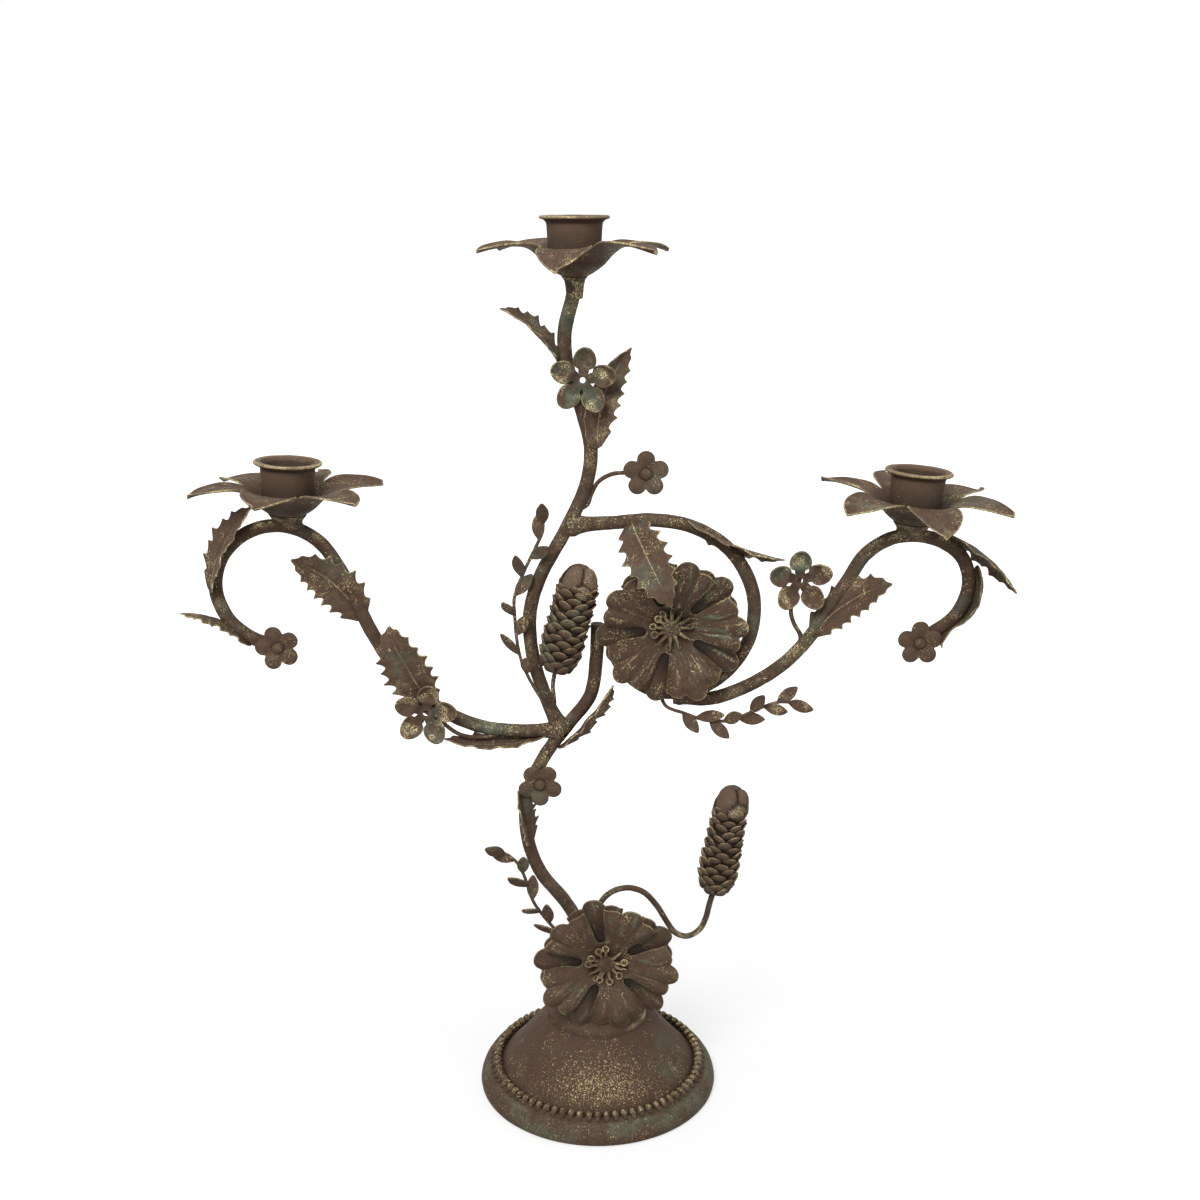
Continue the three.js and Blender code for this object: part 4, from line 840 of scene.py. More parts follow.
def make_holders():
    for name, (host, share, tilt, turn, tips) in HOLDERS.items():
        lift = FIT if name == "top" else ROD_D / 2 + FIT
        stand = move(RODS[host].at(share) + leaning(tilt) * lift) @ spin(tilt, "Y")

        petals = [
            dish_petal(f"{name}_petal_{at}", turn + 60 * at, tip, at + len(name))
            for at, tip in enumerate(tips)
        ]
        dish = thicken(weld(joined(name + "_dish", petals), 0.03), PETAL_SHEET)
        settle(dish, "leaf_iron", dish_finish, name + "_petal_dish", stand=stand)
        settle(candle_cup(name + "_socket"), "cup_iron", cup_finish, name + "_cup", stand=stand)
        rivet = rivet_head(name + "_floor_rivet", 3.4, 1.5, CUP_FLOOR + CUP_WALL - 0.15)
        settle(rivet, "cup_iron", cup_finish, name + "_cup_rivet", angle=60, stand=stand)

        if name != "top":
            saddle = turned(name + "_saddle_weld", rounded(SADDLE_PROFILE, 0.5, 2), 36)
            for vertex in saddle.data.vertices:
                vertex.co.y *= 0.55 + 0.45 * ease(vertex.co.z, -3, 2.4)
            roughen(saddle, 0.3, 0.25)
            mark(saddle, smeared=smeared_by(0.35))
            settle(saddle, "rod_iron", rod_finish, angle=60, stand=stand)

    collar = turned("top_collar", rounded(COLLAR_PROFILE, 0.5, 2), 36)
    mark(collar, smeared=smeared_by(0.7))
    roughen(collar, 0.2, 0.25)
    settle(collar, "rod_iron", rod_finish, "stem_collar", angle=60, stand=move(centre.at(1)))


# Flowers, modelled facing up and turned to face the front

# Half the angle that a big petal takes up, in degrees, at radii from inside its notches outwards
BIG_SPREAD = [(13.4, 36), (13.6, 32.6), (14.1, 29.3), (14.9, 27.4), (16, 26.8), (18, 26.9),
              (22, 27.4), (28, 27.6), (34, 27), (40, 26)]
# Its three lobes: where each one's crown lies across the petal, and how far it reaches
LOBE_REACHES = [(-0.64, 0.912), (0, 1), (0.64, 0.92)]
LOBE_HALF = 0.37
# A big petal's rows: radii up to its notches' ends, and then shares of the way to its edge
BIG_INNER_ROWS = [2.3, 4.4, 6.8, 9.2, 11.4, 13.4, 13.6, 14.1, 14.9, 16, 18]
BIG_OUTER_ROWS = [0.09, 0.2, 0.33, 0.47, 0.6, 0.72, 0.82, 0.9, 0.96, 1]
BIG_COLUMNS = 36
BIG_BACK_R = 40
BIG_FRONT_R = 39.2
BIG_DISC_R = 9
BIG_RISE = 7
FRONT_CROWN = 1.6
BACK_CROWN = -1.2
LOBE_SWELL = 1.7
EDGE_DROP = 1.7
FLANK_DROP = 2.2


def big_petal(name, turn, radius, base, behind, seed, droop=0):
    """One petal with three rounded lobes that swell between the creases. Those of the back layer,
    behind the front's notches, are flatter and carry painted shade."""
    inner = BIG_INNER_ROWS
    lean = 0.9 * sin(seed * 1.9)
    roll = 1.1 * cos(seed * 2.7)

    def bend(column, row):
        across = -1 + 2 * column / BIG_COLUMNS
        reach, swell = 0, 0
        for lobe, lobe_reach in LOBE_REACHES:
            off = (across - lobe) / LOBE_HALF
            reach = max(reach, radius * lobe_reach - 6 * (1 - sqrt(max(0.04, 1 - off * off))))
            swell = max(swell, 1 - min(1, off * off))
        if row < len(inner):
            out = inner[row]
        else:
            out = inner[-1] + BIG_OUTER_ROWS[row - len(inner)] * (reach - inner[-1])
        angle = radians(turn + across * level(BIG_SPREAD, out))
        lift = max(0, out - BIG_DISC_R) / (BIG_BACK_R - BIG_DISC_R)
        free = ease(out, 13, 23)
        crown = BACK_CROWN if behind else FRONT_CROWN
        height = base(lift) + BIG_RISE * lift ** 0.8 + free * crown * (1 - across ** 2)
        height += LOBE_SWELL * (swell - 0.5) * ease(out, 15, 30)
        height -= EDGE_DROP * ease(out / reach, 0.82, 1)
        height -= 0 if behind else FLANK_DROP * free * ease(abs(across), 0.78, 1)
        height += free * (lean * lift + roll * across * lift) - droop * lift ** 2
        height += free * 0.5 * noise.noise(Vector((out * 0.1, angle * 2.2, seed)))
        crease = ease(out, 16, 24) * ease(0.28 - swell, 0, 0.28) * (1 if abs(across) < 0.7 else 0)
        edge = max(ease(out / reach, 0.965, 1), ease(abs(across), 0.95, 1) * ease(out, 13.6, 15))
        # Painted shade in the creases between the lobes and near the middle, and on the back petals where
        # they show through the front's notches.
        hollow = max(0.45 * crease * ease(38 - out, 0, 14), 0.4 * ease(12 - out, 0, 6))
        if behind:
            hollow = max(hollow, (0.3 + 0.7 * ease(30 - out, 0, 13)) * ease(0.75 - abs(across), 0, 0.3))
        place = (out * cos(angle), out * sin(angle), height + PETAL_SHEET / 2)
        return place, edge, min(1, hollow), across + 2.3 * seed, out / 12

    return blank(name, BIG_COLUMNS, len(inner) + len(BIG_OUTER_ROWS) - 1, bend)


# Where the stamens point, in degrees, and how far each head is turned on its stalk
UPPER_STAMENS = [(8, 70), (34, 60), (62, 75), (92, 60), (118, 40), (142, 10), (170, 15), (198, 30),
                 (228, 65), (262, 55), (292, 70), (330, 60)]
LOWER_STAMENS = [(-114, 15), (-80, 10), (-43, 30), (-16, 35), (8, 55), (47, 60), (93, 10), (118, 15),
                 (152, 10), (178, 50), (209, 55), (235, 70)]
# Their hub and heads as (radius, height), a stalk's line, and a head's place on its stalk
STAMEN_SEAT = 2.6
HUB_PROFILE = [(1.7, 0), (1.9, STAMEN_SEAT), (4.6, STAMEN_SEAT), (5.1, STAMEN_SEAT + 1.1),
               (4, STAMEN_SEAT + 2.1), (1.5, STAMEN_SEAT + 2.4), (0, STAMEN_SEAT + 2.2)]
STALK_LINE = [(4.4, 0, 0.5), (5.6, 0, 1.8), (7, 0, 2.4), (8.3, 0, 2.3)]
STALK_D = 2.2
HEAD_PROFILE = [(0, 0.25), (0.95, 0.25), (1.4, 0.85), (2, 0.85), (2.2, 0.1), (1.4, -0.5), (0, -0.6)]
HEAD_PLACE = (9.6, 2.1)


def stamen_stalk():
    def swell(travel, length):
        return 1.15 - 0.3 * ease(travel, 1, 3) + 0.1 * ease(travel, length - 1, length)

    stalk = drawn("stamen_stalk", Route(STALK_LINE, 8), STALK_D, 0.7, swell, 3)
    # Painted highlight and shade: gold on the side of each stalk that faces front and up, dark on the side
    # that faces away.
    return mark(stalk, wear=lambda vertex: 0.62 * ease(vertex.normal.z + 0.5 * vertex.normal.y, 0.1, 1),
                hollow=lambda vertex: 0.9 * ease(-vertex.normal.z - 0.4 * vertex.normal.y, -0.1, 0.6))


def stamen_head():
    head = turned("stamen_head", rounded(HEAD_PROFILE, 0.3, 2), 16)
    # Gold worn on the rim, and painted shade inside the dished head.
    return mark(head, wear=lambda vertex: 0.7 * ease(off_axis(vertex), 1, 1.4) * ease(vertex.co.z, 0.1, 0.5),
                hollow=lambda vertex: 0.55 * ease(1.3 - off_axis(vertex), 0, 0.6))


def stamen_cluster(name, stamens):
    """A rough hub with twelve stalks that lean outwards and end in small dished heads."""
    hub = roughen(turned(name + "_hub", rounded(HUB_PROFILE, 0.5, 2), 28), 0.55, 0.55)
    # Painted shade, darker towards the hub's middle.
    parts = [mark(hub, wear=0.1, hollow=lambda vertex: 0.3 * ease(4 - off_axis(vertex), 0, 2))]
    stalk, head = stamen_stalk(), stamen_head()
    for at, (angle, turn) in enumerate(stamens):
        uneven = sin(at * 2.3)
        stand = spin(angle, "Z") @ move((0, 0, STAMEN_SEAT))
        stretch = Matrix.Diagonal((1 + 0.07 * uneven, 1, 1, 1))
        parts.append(placed(stalk, f"{name}_stalk_{at}", stand @ stretch))
        out, up = HEAD_PLACE
        tilted = move((out + 0.4 * uneven, 0, up)) @ spin(turn if at % 2 else -turn, "X")
        parts.append(placed(head, f"{name}_head_{at}", stand @ tilted))
    bpy.data.objects.remove(stalk)
    bpy.data.objects.remove(head)
    return joined(name, parts)


def make_big_flower(name, place, turn, stamens, finish, droops=(0, 0, 0, 0, 0)):
    """Two layers of five petals; droops tell how far each front petal hangs back at its tip."""
    stand = move(place) @ FACE_FRONT
    for layer, radius, extra in (("back", BIG_BACK_R, 0), ("front", BIG_FRONT_R, 36)):
        clear = 0 if layer == "back" else 1
        petals = [
            big_petal(f"{name}_{layer}_{at}", turn + extra + 72 * at, radius,
                      lambda lift: clear * (1.3 + 3.2 * lift), layer == "back", at + 5 * clear + len(name),
                      clear * droops[at])
            for at in range(5)
        ]
        whole = thicken(weld(joined(f"{name}_{layer}", petals), 0.03), PETAL_SHEET)
        settle(whole, "leaf_iron", finish, f"{name}_{layer}_petals", stand=stand)
    cluster = stamen_cluster(name + "_centre", stamens)
    settle(cluster, "gilded_iron", gold_finish, name + "_stamens", angle=50, stand=stand)


# A flat flower: the radius of a lobe, how far out its centre lies, the flower's radius, and its rows
FLAT_LOBE_R = 4.65
FLAT_LOBE_AT = 7.35
FLAT_R = 12
FLAT_ROWS = [0.15, 0.26, 0.38, 0.52, 0.66, 0.8, 0.9, 0.965, 1]
FLAT_COLUMNS = 70


def make_flat_flower(name, place, turn):
    """Five round lobes on one disc, with a domed rivet."""
    def bend(column, row):
        angle = 2 * pi * column / FLAT_COLUMNS
        from_lobe = (angle + pi / 5) % (2 * pi / 5) - pi / 5
        reach = FLAT_LOBE_AT * cos(from_lobe) + sqrt(
            max(0.4, FLAT_LOBE_R ** 2 - (FLAT_LOBE_AT * sin(from_lobe)) ** 2))
        out = FLAT_ROWS[row] * reach
        height = 0.9 * ease(out, 3, 8) - 0.8 * ease(out / FLAT_R, 0.75, 1)
        height += 0.6 * cos(5 * angle) * ease(out, 3, 7) + 0.35 * sin(2 * angle + place[0])
        edge = ease(FLAT_ROWS[row], 0.95, 1)
        # Painted shade round the rivet's boss.
        hollow = 0.85 * ease(4.4 - out, 0, 1.2)
        turn_by = angle + radians(turn + 90)
        return (out * cos(turn_by), out * sin(turn_by), height + 0.5), 0.8 * edge, hollow, 0, 0

    stand = move(place) @ FACE_FRONT
    plate = thicken(weld(blank(name + "_plate", FLAT_COLUMNS, len(FLAT_ROWS) - 1, bend), 0.01), PETAL_SHEET)
    settle(plate, "leaf_iron", flat_finish, name, stand=stand)
    rivet = rivet_head(name + "_boss", 3, 1.9, 1)
    mark(rivet, wear=lambda vertex: 0.35 * ease(vertex.co.z, 1.8, 2.8))
    settle(rivet, "gilded_iron", flat_finish, name + "_rivet", angle=60, stand=stand)


# A cupped flower's petal: its rows as radii, its columns as shares of its half width, its bowl's
# middle, half length and half width, the edge of the ring round the hole, and how far it rises
SPOON_ROWS = [1.4, 2.4, 3.5, 4.6, 5.4, 6.2, 7, 8, 9.2, 10.5, 11.8, 13, 14.2, 15.2, 16, 16.5, 16.8]
SPOON_COLUMNS = [-1, -0.94, -0.8, -0.58, -0.3, 0, 0.3, 0.58, 0.8, 0.94, 1]
SPOON_MIDDLE, SPOON_LONG_HALF, SPOON_WIDE_HALF = 11.2, 5.6, 5.8
SPOON_RING_R = 4.6
SPOON_REACH = 12.2
SPOON_RISE = 5.2
SPOON_DEPTH = 2.2


def spoon_petal(name, turn, tilt, seed):
    """One petal on its neck, with a fifth of the ring; tilt lifts its bowl."""
    def bend(column, row):
        out, across = SPOON_ROWS[row], SPOON_COLUMNS[column]
        long_share = (out - SPOON_MIDDLE) / SPOON_LONG_HALF
        width = SPOON_WIDE_HALF * sqrt(max(0.002, 1 - long_share ** 2))
        neck = 2.0 + 1.2 * ease(6.2 - out, 0, 1.4)
        half = max(neck if out < 8 else 0, width)
        spread = 36.0 if out < 4.2 else min(36.0, degrees(asin(min(0.58, half / out))))
        angle = radians(turn + across * spread)
        side = out * sin(radians(across * spread))
        cup = ease(out, 5.5, 9)
        height = SPOON_RISE * (max(0, out - SPOON_RING_R) / SPOON_REACH) ** 1.1 + tilt * cup
        height -= cup * SPOON_DEPTH * (1 - min(1, long_share ** 2 + (side / SPOON_WIDE_HALF) ** 2))
        edge = max(ease(abs(across), 0.88, 1) * ease(out, 5.2, 7), ease(out, 16, 16.8))
        # Painted shade near the ring round the hole.
        hollow = 0.5 * ease(6.4 - abs(out - SPOON_RING_R), 3.6, 6)
        place = (out * cos(angle), out * sin(angle), height + LEAF_SHEET / 2)
        return place, 0.85 * edge, hollow, across + seed, out / 8

    return blank(name, len(SPOON_COLUMNS) - 1, len(SPOON_ROWS) - 1, bend)


def make_cupped_flower(name, place, turn):
    """Five spoon-shaped petals on necks round an open hole."""
    petals = [
        spoon_petal(f"{name}_{at}", turn + 72 * at, 0.8 * sin(at * 2.2 + place[0]), at)
        for at in range(5)
    ]
    whole = thicken(weld(joined(name + "_petals", petals), 0.03), LEAF_SHEET)
    shift = Vector((place[0], 0, 0))
    mark(whole, smeared=lambda vertex: 0.8 * ease(off_axis(vertex), 7, 10) * ease(
        noise.noise(vertex.co * 0.16 + shift), 0.02, 0.25))
    settle(whole, "leaf_iron", spoon_finish, name, stand=move(place) @ FACE_FRONT)


def make_flowers():
    make_big_flower("upper_flower", before(ring, 1, ROD_D), 41, UPPER_STAMENS, petal_finish)
    make_big_flower("lower_flower", lower_flower_place(), 30, LOWER_STAMENS, plain_petal_finish,
                    droops=(0, 0, 0, 8, 3))
    make_flat_flower("stem_flower", before(stem, 0.61, ROD_D) + Vector((2 / 3 * ROD_D, 0, 0)), 36)
    make_flat_flower("left_end_flower", before(left, 0.99, ROD_D), 15)
    make_flat_flower("right_end_flower", before(right, 0.985, ROD_D), 0)
    make_flat_flower("upper_wire_flower", before(wires["upper_flower_wire"], 0.97, FLOWER_WIRE_D), 0)
    make_cupped_flower("top_cupped_flower", before(centre, 0.8, ROD_D) + Vector((6, 0, 0)), 12)
    make_cupped_flower("right_cupped_flower", before(wires["right_flower_wire"], 0.97, FLOWER_WIRE_D), 20)
    make_cupped_flower("lower_cupped_flower", before(wires["lower_flower_wire"], 0.97, FLOWER_WIRE_D), 8)


# Leaves

# Each leaf: its rod, the share along it, its length's share, where its stalk stands from the
# rod's middle to the right, forward and up in shares of the rod's diameter, and its pose in degrees
LEAVES = {
    "top_left_leaf": ("centre", 0.828, 0.84, (-0.55, -0.6, -0.05), dict(
        heading=136, lean=4, roll=80, curl=-46)),
    "top_right_leaf": ("centre", 0.655, 1.1, (0.5, 0.5, 0), dict(
        heading=71, lean=-10, roll=0, sweep=-46, twist=24, fold=22, smooth=-1, wide=0.75)),
    "left_hook_leaf": ("left", 0.84, 1.1, (-0.25, 0.4, 0), dict(heading=62, lean=4, roll=-58, curl=-46)),
    "left_arm_leaf": ("left", 0.428, 1.02, (-0.2, 0, 0), dict(heading=134, lean=12, roll=12, sweep=44)),
    "left_low_leaf": ("left", 0.24, 1.02, (-0.1, 0.4, 0), dict(
        heading=115, lean=12, roll=-8, tip=-70, wide=1.15)),
    "left_tail_leaf": ("left", 0.942, 0.84, (-0.1, 0, -0.6), dict(heading=152, lean=6, roll=-76, curl=60)),
    "ring_top_leaf": ("ring", 0.2, 1.12, (0.2, 0, 0.4), dict(heading=-22, lean=6, roll=70, curl=-26)),
    "ring_front_leaf": ("ring", 0.11, 1.06, (0, 0.3, 0), dict(heading=-62, lean=34, roll=0, curl=-50)),
    "right_arm_leaf": ("right", 0.332, 1.04, (0, 0.45, 0), dict(heading=39, lean=12, roll=-48, sweep=-45)),
    "right_top_leaf": ("right", 0.702, 0.99, (0.38, 0, 0.58), dict(heading=-40, lean=6, roll=78, curl=38)),
    "right_tail_leaf": ("right", 0.78, 1.04, (0.78, 0, 0.1), dict(
        heading=-126, lean=6, roll=92, curl=130, tip=-115)),
    "junction_left_leaf": ("left", 0.03, 1.12, (0, 0, -0.3), dict(heading=180, lean=8, roll=86, curl=40)),
    "junction_right_leaf": ("stem", 0.71, 0.97, (0.35, 0, -0.35), dict(
        heading=52, lean=8, roll=67, curl=-22)),
    "stem_wrap_leaf": ("stem", 0.465, 0.66, (0.2, 0, 0), dict(heading=102, lean=5, roll=72, sweep=-15)),
}
# A leaf's width along it, as shares of its length and of its greatest width
LEAF_WIDTHS = [(0, 0.2), (0.04, 0.42), (0.1, 0.68), (0.2, 0.84), (0.35, 0.92), (0.5, 0.88), (0.65, 0.76),
               (0.78, 0.57), (0.87, 0.38), (0.92, 0.2), (0.96, 0.09), (1, 0.03)]
LEAF_COLUMNS = [-1, -0.965, -0.86, -0.68, -0.48, -0.28, -0.12, -0.045, 0, 0.045, 0.12, 0.28, 0.48, 0.68,
                0.86, 0.965, 1]
TEETH = 6
TEETH_START, TEETH_END = 0.11, 0.9
# Along a tooth: the share of its length from one tip, and the share of the width there
TOOTH = [(0, 1.12), (0.1, 0.86), (0.25, 0.77), (0.5, 0.83), (0.74, 0.93), (0.9, 1.04)]


def leaf_stations():
    """The leaf's rows: the share along it, the share of its width there, and 1 where a vein ends."""
    pitch = (TEETH_END - TEETH_START) / TEETH
    stations = [(0, 1, 0), (0.03, 1, 0), (0.07, 1, 0)]
    for tooth in range(TEETH):
        stations += [
            (TEETH_START + pitch * (tooth + along), width, 1 if along == 0 else 0)
            for along, width in TOOTH
        ]
    return stations + [(TEETH_END, 1.15, 1), (0.915, 0.85, 0), (0.94, 0.9, 0), (0.97, 1, 0), (1, 1, 0)]


class LeafLine:
    """The midrib of a leaf, which sweeps and curls evenly, twists more and more, and bends at its
    tip, with its directions along it."""

    STEPS = 80

    def __init__(self, start, length, heading, lean, roll, sweep=0, curl=0, twist=0, tip=0):
        flat = Vector((cos(radians(heading)), 0, sin(radians(heading))))
        ahead = flat * cos(radians(lean)) + FRONT * sin(radians(lean))
        face = (FRONT - ahead * FRONT.dot(ahead)).normalized()
        face.rotate(Quaternion(ahead, radians(roll)))
        side = ahead.cross(face)

        def frame_at(share):
            bent = tip * (max(0, share - 0.6) / 0.4) ** 2
            swept = Quaternion(face, radians(sweep * (share - 0.5)))
            curled = Quaternion(side, radians(curl * (share - 0.5) + bent))
            turn = swept @ curled @ Quaternion(ahead, radians(twist * share))
            return [turn @ ahead, turn @ face, turn @ side]

        point = Vector(start)
        self.frames = []
        for step in range(self.STEPS + 1):
            self.frames.append((point.copy(), *frame_at(step / self.STEPS)))
            point = point + frame_at((step + 0.5) / self.STEPS)[0] * length / self.STEPS

    def at(self, share):
        place = min(1, max(0, share)) * self.STEPS
        low = min(int(place), self.STEPS - 1)
        part = place - low
        return [one.lerp(other, part) for one, other in zip(self.frames[low], self.frames[low + 1])]


def pressed_leaf(name, line, width, fold, seed, smooth=0):
    """A sheet with forward teeth, a raised midrib and veins. smooth is the side, -1 or 1, whose
    edge has no teeth."""
    stations = leaf_stations()
    slope = tan(radians(fold))

    def bend(column, row):
        along, tooth, vein = stations[row]
        across = LEAF_COLUMNS[column]
        margin = level(LEAF_WIDTHS, along)
        uneven = 1 + 0.09 * noise.noise(Vector((along * 9, seed, 3 if across > 0 else -3)))
        toothed = 0.25 if smooth * across > 0 else 1
        cut = 1 - (1 - tooth) * toothed * ease(abs(across), 0.25, 1)
        half = width / 2 * cos(radians(fold)) * margin * cut * uneven
        point, _, face, side = line.at(along + 0.085 * margin * abs(across) ** 1.2 * toothed)
        off = across * half
        # the fold, the midrib and the veins
        height = abs(off) * slope - 0.5 * (1 - abs(across)) * margin
        height += 0.75 * bell(across, 0.05) * (1 - 0.6 * along)
        rib = vein * (1 - abs(across)) ** 0.5 * ease(abs(across), 0, 0.15)
        height += 0.35 * rib
        # the hammering and the waved margin
        height += 1.1 * margin * noise.noise(Vector((along * 5, across * 1.6, seed * 1.7)))
        height += 0.8 * abs(across) ** 2 * sin(along * 23 + seed + across) * margin
        edge = max(ease(abs(across), 0.93, 1), ease(along, 0.965, 1))
        crest = 0.85 * bell(across, 0.035) * ease(1 - along, 0, 0.3)
        # Painted shade at the leaf's stalk end and in the grooves beside the midrib.
        hollow = max(0.45 * ease(0.12 - along, 0, 0.1), 0.3 * bell(abs(across) - 0.1, 0.05))
        return point + side * off + face * height, max(edge, crest, 0.35 * rib), hollow, across, along

    return thicken(blank(name, len(LEAF_COLUMNS) - 1, len(stations) - 1, bend), LEAF_SHEET - 0.1)


def make_leaves():
    for at, (name, (host, share, long_share, aside, pose)) in enumerate(LEAVES.items()):
        pose = dict(pose)
        fold, smooth, wide = pose.pop("fold", 14), pose.pop("smooth", 0), pose.pop("wide", 1)
        to_right, forward, up = aside
        start = RODS[host].at(share) + Vector((to_right, -forward, up)) * ROD_D
        line = LeafLine(start, long_share * LEAF_L, **pose)
        leaf = pressed_leaf(name + "_sheet", line, wide * LEAF_W, fold, at + 1, smooth)
        settle(leaf, "leaf_iron", leaf_finish, name)


# Sprigs

# Each sprig: its rod, the share along it, its reach, rise and depth, and its route
SPRIGS = {
    "upper_sprig": ("centre", 0.055, 18, 115, 5, [
        (0, 0), (-0.23, 0.06, -1), (-0.47, 0.12, -1), (-0.81, 0.235, -1), (-0.95, 0.33, -1),
        (-1.02, 0.47, -1), (-1.02, 0.55, -1), (-0.74, 0.67, -1), (-0.19, 0.86, -1), (-0.17, 0.91, -1)]),
    "lower_sprig": ("stem", 0.14, 62, 76, 5, [
        (0, 0), (-0.16, 0.12, -1), (-0.33, 0.28, -1), (-0.49, 0.45, -1), (-0.56, 0.55, -1),
        (-0.6, 0.66, -1), (-0.64, 0.76, -1), (-0.7, 0.85, -1), (-0.82, 0.925, -1)]),
    "right_sprig": ("ring", 0.675, 72, 13, 6, [
        (0, 0), (0.05, -0.49, -0.95), (0.185, -0.785, -1), (0.335, -1.08, -1), (0.485, -1.12, -1),
        (0.6, -0.93, -1), (0.745, -0.55, -1), (0.88, -0.3, -1), (0.97, -0.32, -1)]),
}
LEAFLET_COUNT = 9
LEAFLET_ANGLE = 29
LEAFLET_LONG, LEAFLET_HALF = 14, 3.5
FIRST_LEAFLET = 0.24
LEAFLET_GIRTH = [(0, 0.2), (0.08, 0.36), (0.2, 0.7), (0.4, 0.98), (0.55, 1), (0.72, 0.85), (0.87, 0.52),
                 (0.96, 0.24), (1, 0.05)]


def leaflet(name):
    """An oval leaflet along X, as wide as its girth says, dished a little."""
    stations = [0, 0.08, 0.2, 0.36, 0.54, 0.72, 0.87, 0.96, 1]
    shares = [-1, -0.88, -0.5, 0, 0.5, 0.88, 1]

    def bend(column, row):
        along, across = stations[row], shares[column]
        off = across * level(LEAFLET_GIRTH, along) * LEAFLET_HALF
        height = 0.14 * abs(off) + 0.35 * bell(across, 0.25) + 1.1 * along ** 2
        edge = max(ease(abs(across), 0.86, 1), ease(along, 0.93, 1))
        # Painted shade at the leaflet's foot.
        hollow = 0.35 * ease(0.2 - along, 0, 0.2)
        return (along * LEAFLET_LONG, off, height), 0.5 * edge, hollow, across, along

    return thicken(blank(name, len(shares) - 1, len(stations) - 1, bend), 1.0)


def make_sprigs():
    pattern = leaflet("leaflet_pattern")
    for name, (host, share, reach, rise, depth, places) in SPRIGS.items():
        line = route(RODS[host].at(share), reach, rise, places, depth)
        stalk = drawn(name + "_stalk", line, SPRIG_WIRE_D, 1.6, foot_swell(ROD_D, 0.4, 2), 3)
        mark(roughen(stalk, 0.12, 0.4), wear=lambda vertex: 0.3 * (0.5 + noise.noise(vertex.co * 0.3)))
        parts = [stalk]
        for at in range(LEAFLET_COUNT):
            along = FIRST_LEAFLET + (1 - FIRST_LEAFLET) * at / (LEAFLET_COUNT - 1)
            hand = 0 if at == LEAFLET_COUNT - 1 else 1 - 2 * (at % 2)
            along = min(along, 1 - SPRIG_WIRE_D / line.length)
            ahead = line.heading(along)
            aside = LEAFLET_ANGLE + 5 * sin(at * 4.1)
            ahead.rotate(Quaternion(FRONT, -hand * radians(aside)))
            across = FRONT.cross(ahead).normalized()
            forward = -14 + 20 * sin(at * 2.3 + len(name))
            ahead.rotate(Quaternion(across, radians(forward)))
            face = ahead.cross(across)
            roll = hand * (10 + 30 * sin(at * 2.9 + len(name)))
            turn = Quaternion(ahead, radians(roll))
            across, face = turn @ across, turn @ face
            size = 1 + 0.08 * sin(at * 1.7)
            frame_of = Matrix((ahead * size, across, face)).transposed().to_4x4()
            parts.append(placed(pattern, f"{name}_{at}", move(line.at(along)) @ frame_of))
        settle(joined(name + "_spray", parts), "leaf_iron", leaf_finish, name, angle=50)
    bpy.data.objects.remove(pattern)


# Cones

CONE_GIRTH = [(0, 0.62), (0.05, 0.85), (0.12, 0.97), (0.3, 1), (0.7, 0.98), (0.84, 0.92), (0.92, 0.82),
              (1, 0.6)]
SCALE_TIERS = 16
SCALES_ROUND = 6
SCALE_R = 10.9
SCALE_TALL = 5.1
SCALE_HALF_ANGLE = 28
SCALES_START = 2.4
BARE_TOP = 12


def lens_scale(name):
    """A lens-shaped scale that stands at X, bulges outwards and leans out at its upper edge: proud
    tells how far each row stands out."""
    rows = [0, 0.18, 0.5, 0.86, 1]
    proud = [-2.6, -1.1, -0.1, 0.7, 0.9]
    shares = [-1, -0.8, -0.5, -0.17, 0.17, 0.5, 0.8, 1]

    def bend(column, row):
        up, across = rows[row], shares[column]
        arch = (1 - across ** 2) ** 0.7
        height = (up - 0.45) * SCALE_TALL * arch - 0.7 * across ** 2
        radius = SCALE_R - 1.8 * (1 - arch) + proud[row] * arch
        angle = across * radians(SCALE_HALF_ANGLE)
        edge = ease(up, 0.86, 1) * ease(arch, 0.1, 0.5)
        # Painted shade on the scale's lower part and its sides, where it tucks under its neighbours.
        hollow = max(ease(0.7 - up, 0, 0.4), ease(abs(across), 0.6, 1))
        place = (radius * cos(angle), radius * sin(angle), height)
        return place, 0.85 * edge, hollow, across, up

    return thicken(weld(blank(name, len(shares) - 1, len(rows) - 1, bend), 0.001), 0.9, 0)


def bud_scales(name, length, buds):
    """The lumpy scales that close over the cone's top, with shade painted dark where one meets another and
    on their lower parts.
    """
    stands = [
        move((0, 0, length)) @ spin(turn, "Z") @ move((out, 0, -down)) @ spin(lean, "Y") @ spin(roll, "X")
        @ Matrix.Diagonal((deep, wide, tall, 1))
        for turn, out, down, deep, wide, tall, lean, roll, _ in buds
    ]
    bpy.ops.object.select_all(action="DESELECT")
    bpy.ops.mesh.primitive_uv_sphere_add(segments=20, ring_count=14, radius=1)
    ball = bpy.context.object
    pieces = []
    for at, (stand, (_, _, down, _, _, tall, _, _, gold)) in enumerate(zip(stands, buds)):
        piece = placed(ball, f"{name}_bud_{at}", stand)
        others = [other.inverted() for other in stands if other is not stand]

        # Painted shade where a scale meets another and on its lower part.
        def hollow(vertex):
            near = min((other @ vertex.co).length for other in others)
            low = length - down - vertex.co.z
            return max(ease(1.22 - near, 0, 0.2), 0.9 * ease(low / tall, 0.4, 0.9))

        mark(piece, hollow=hollow, smeared=gold, wear=0)
        pieces.append(roughen(piece, 0.25, 0.3))
    bpy.data.objects.remove(ball)
    return pieces


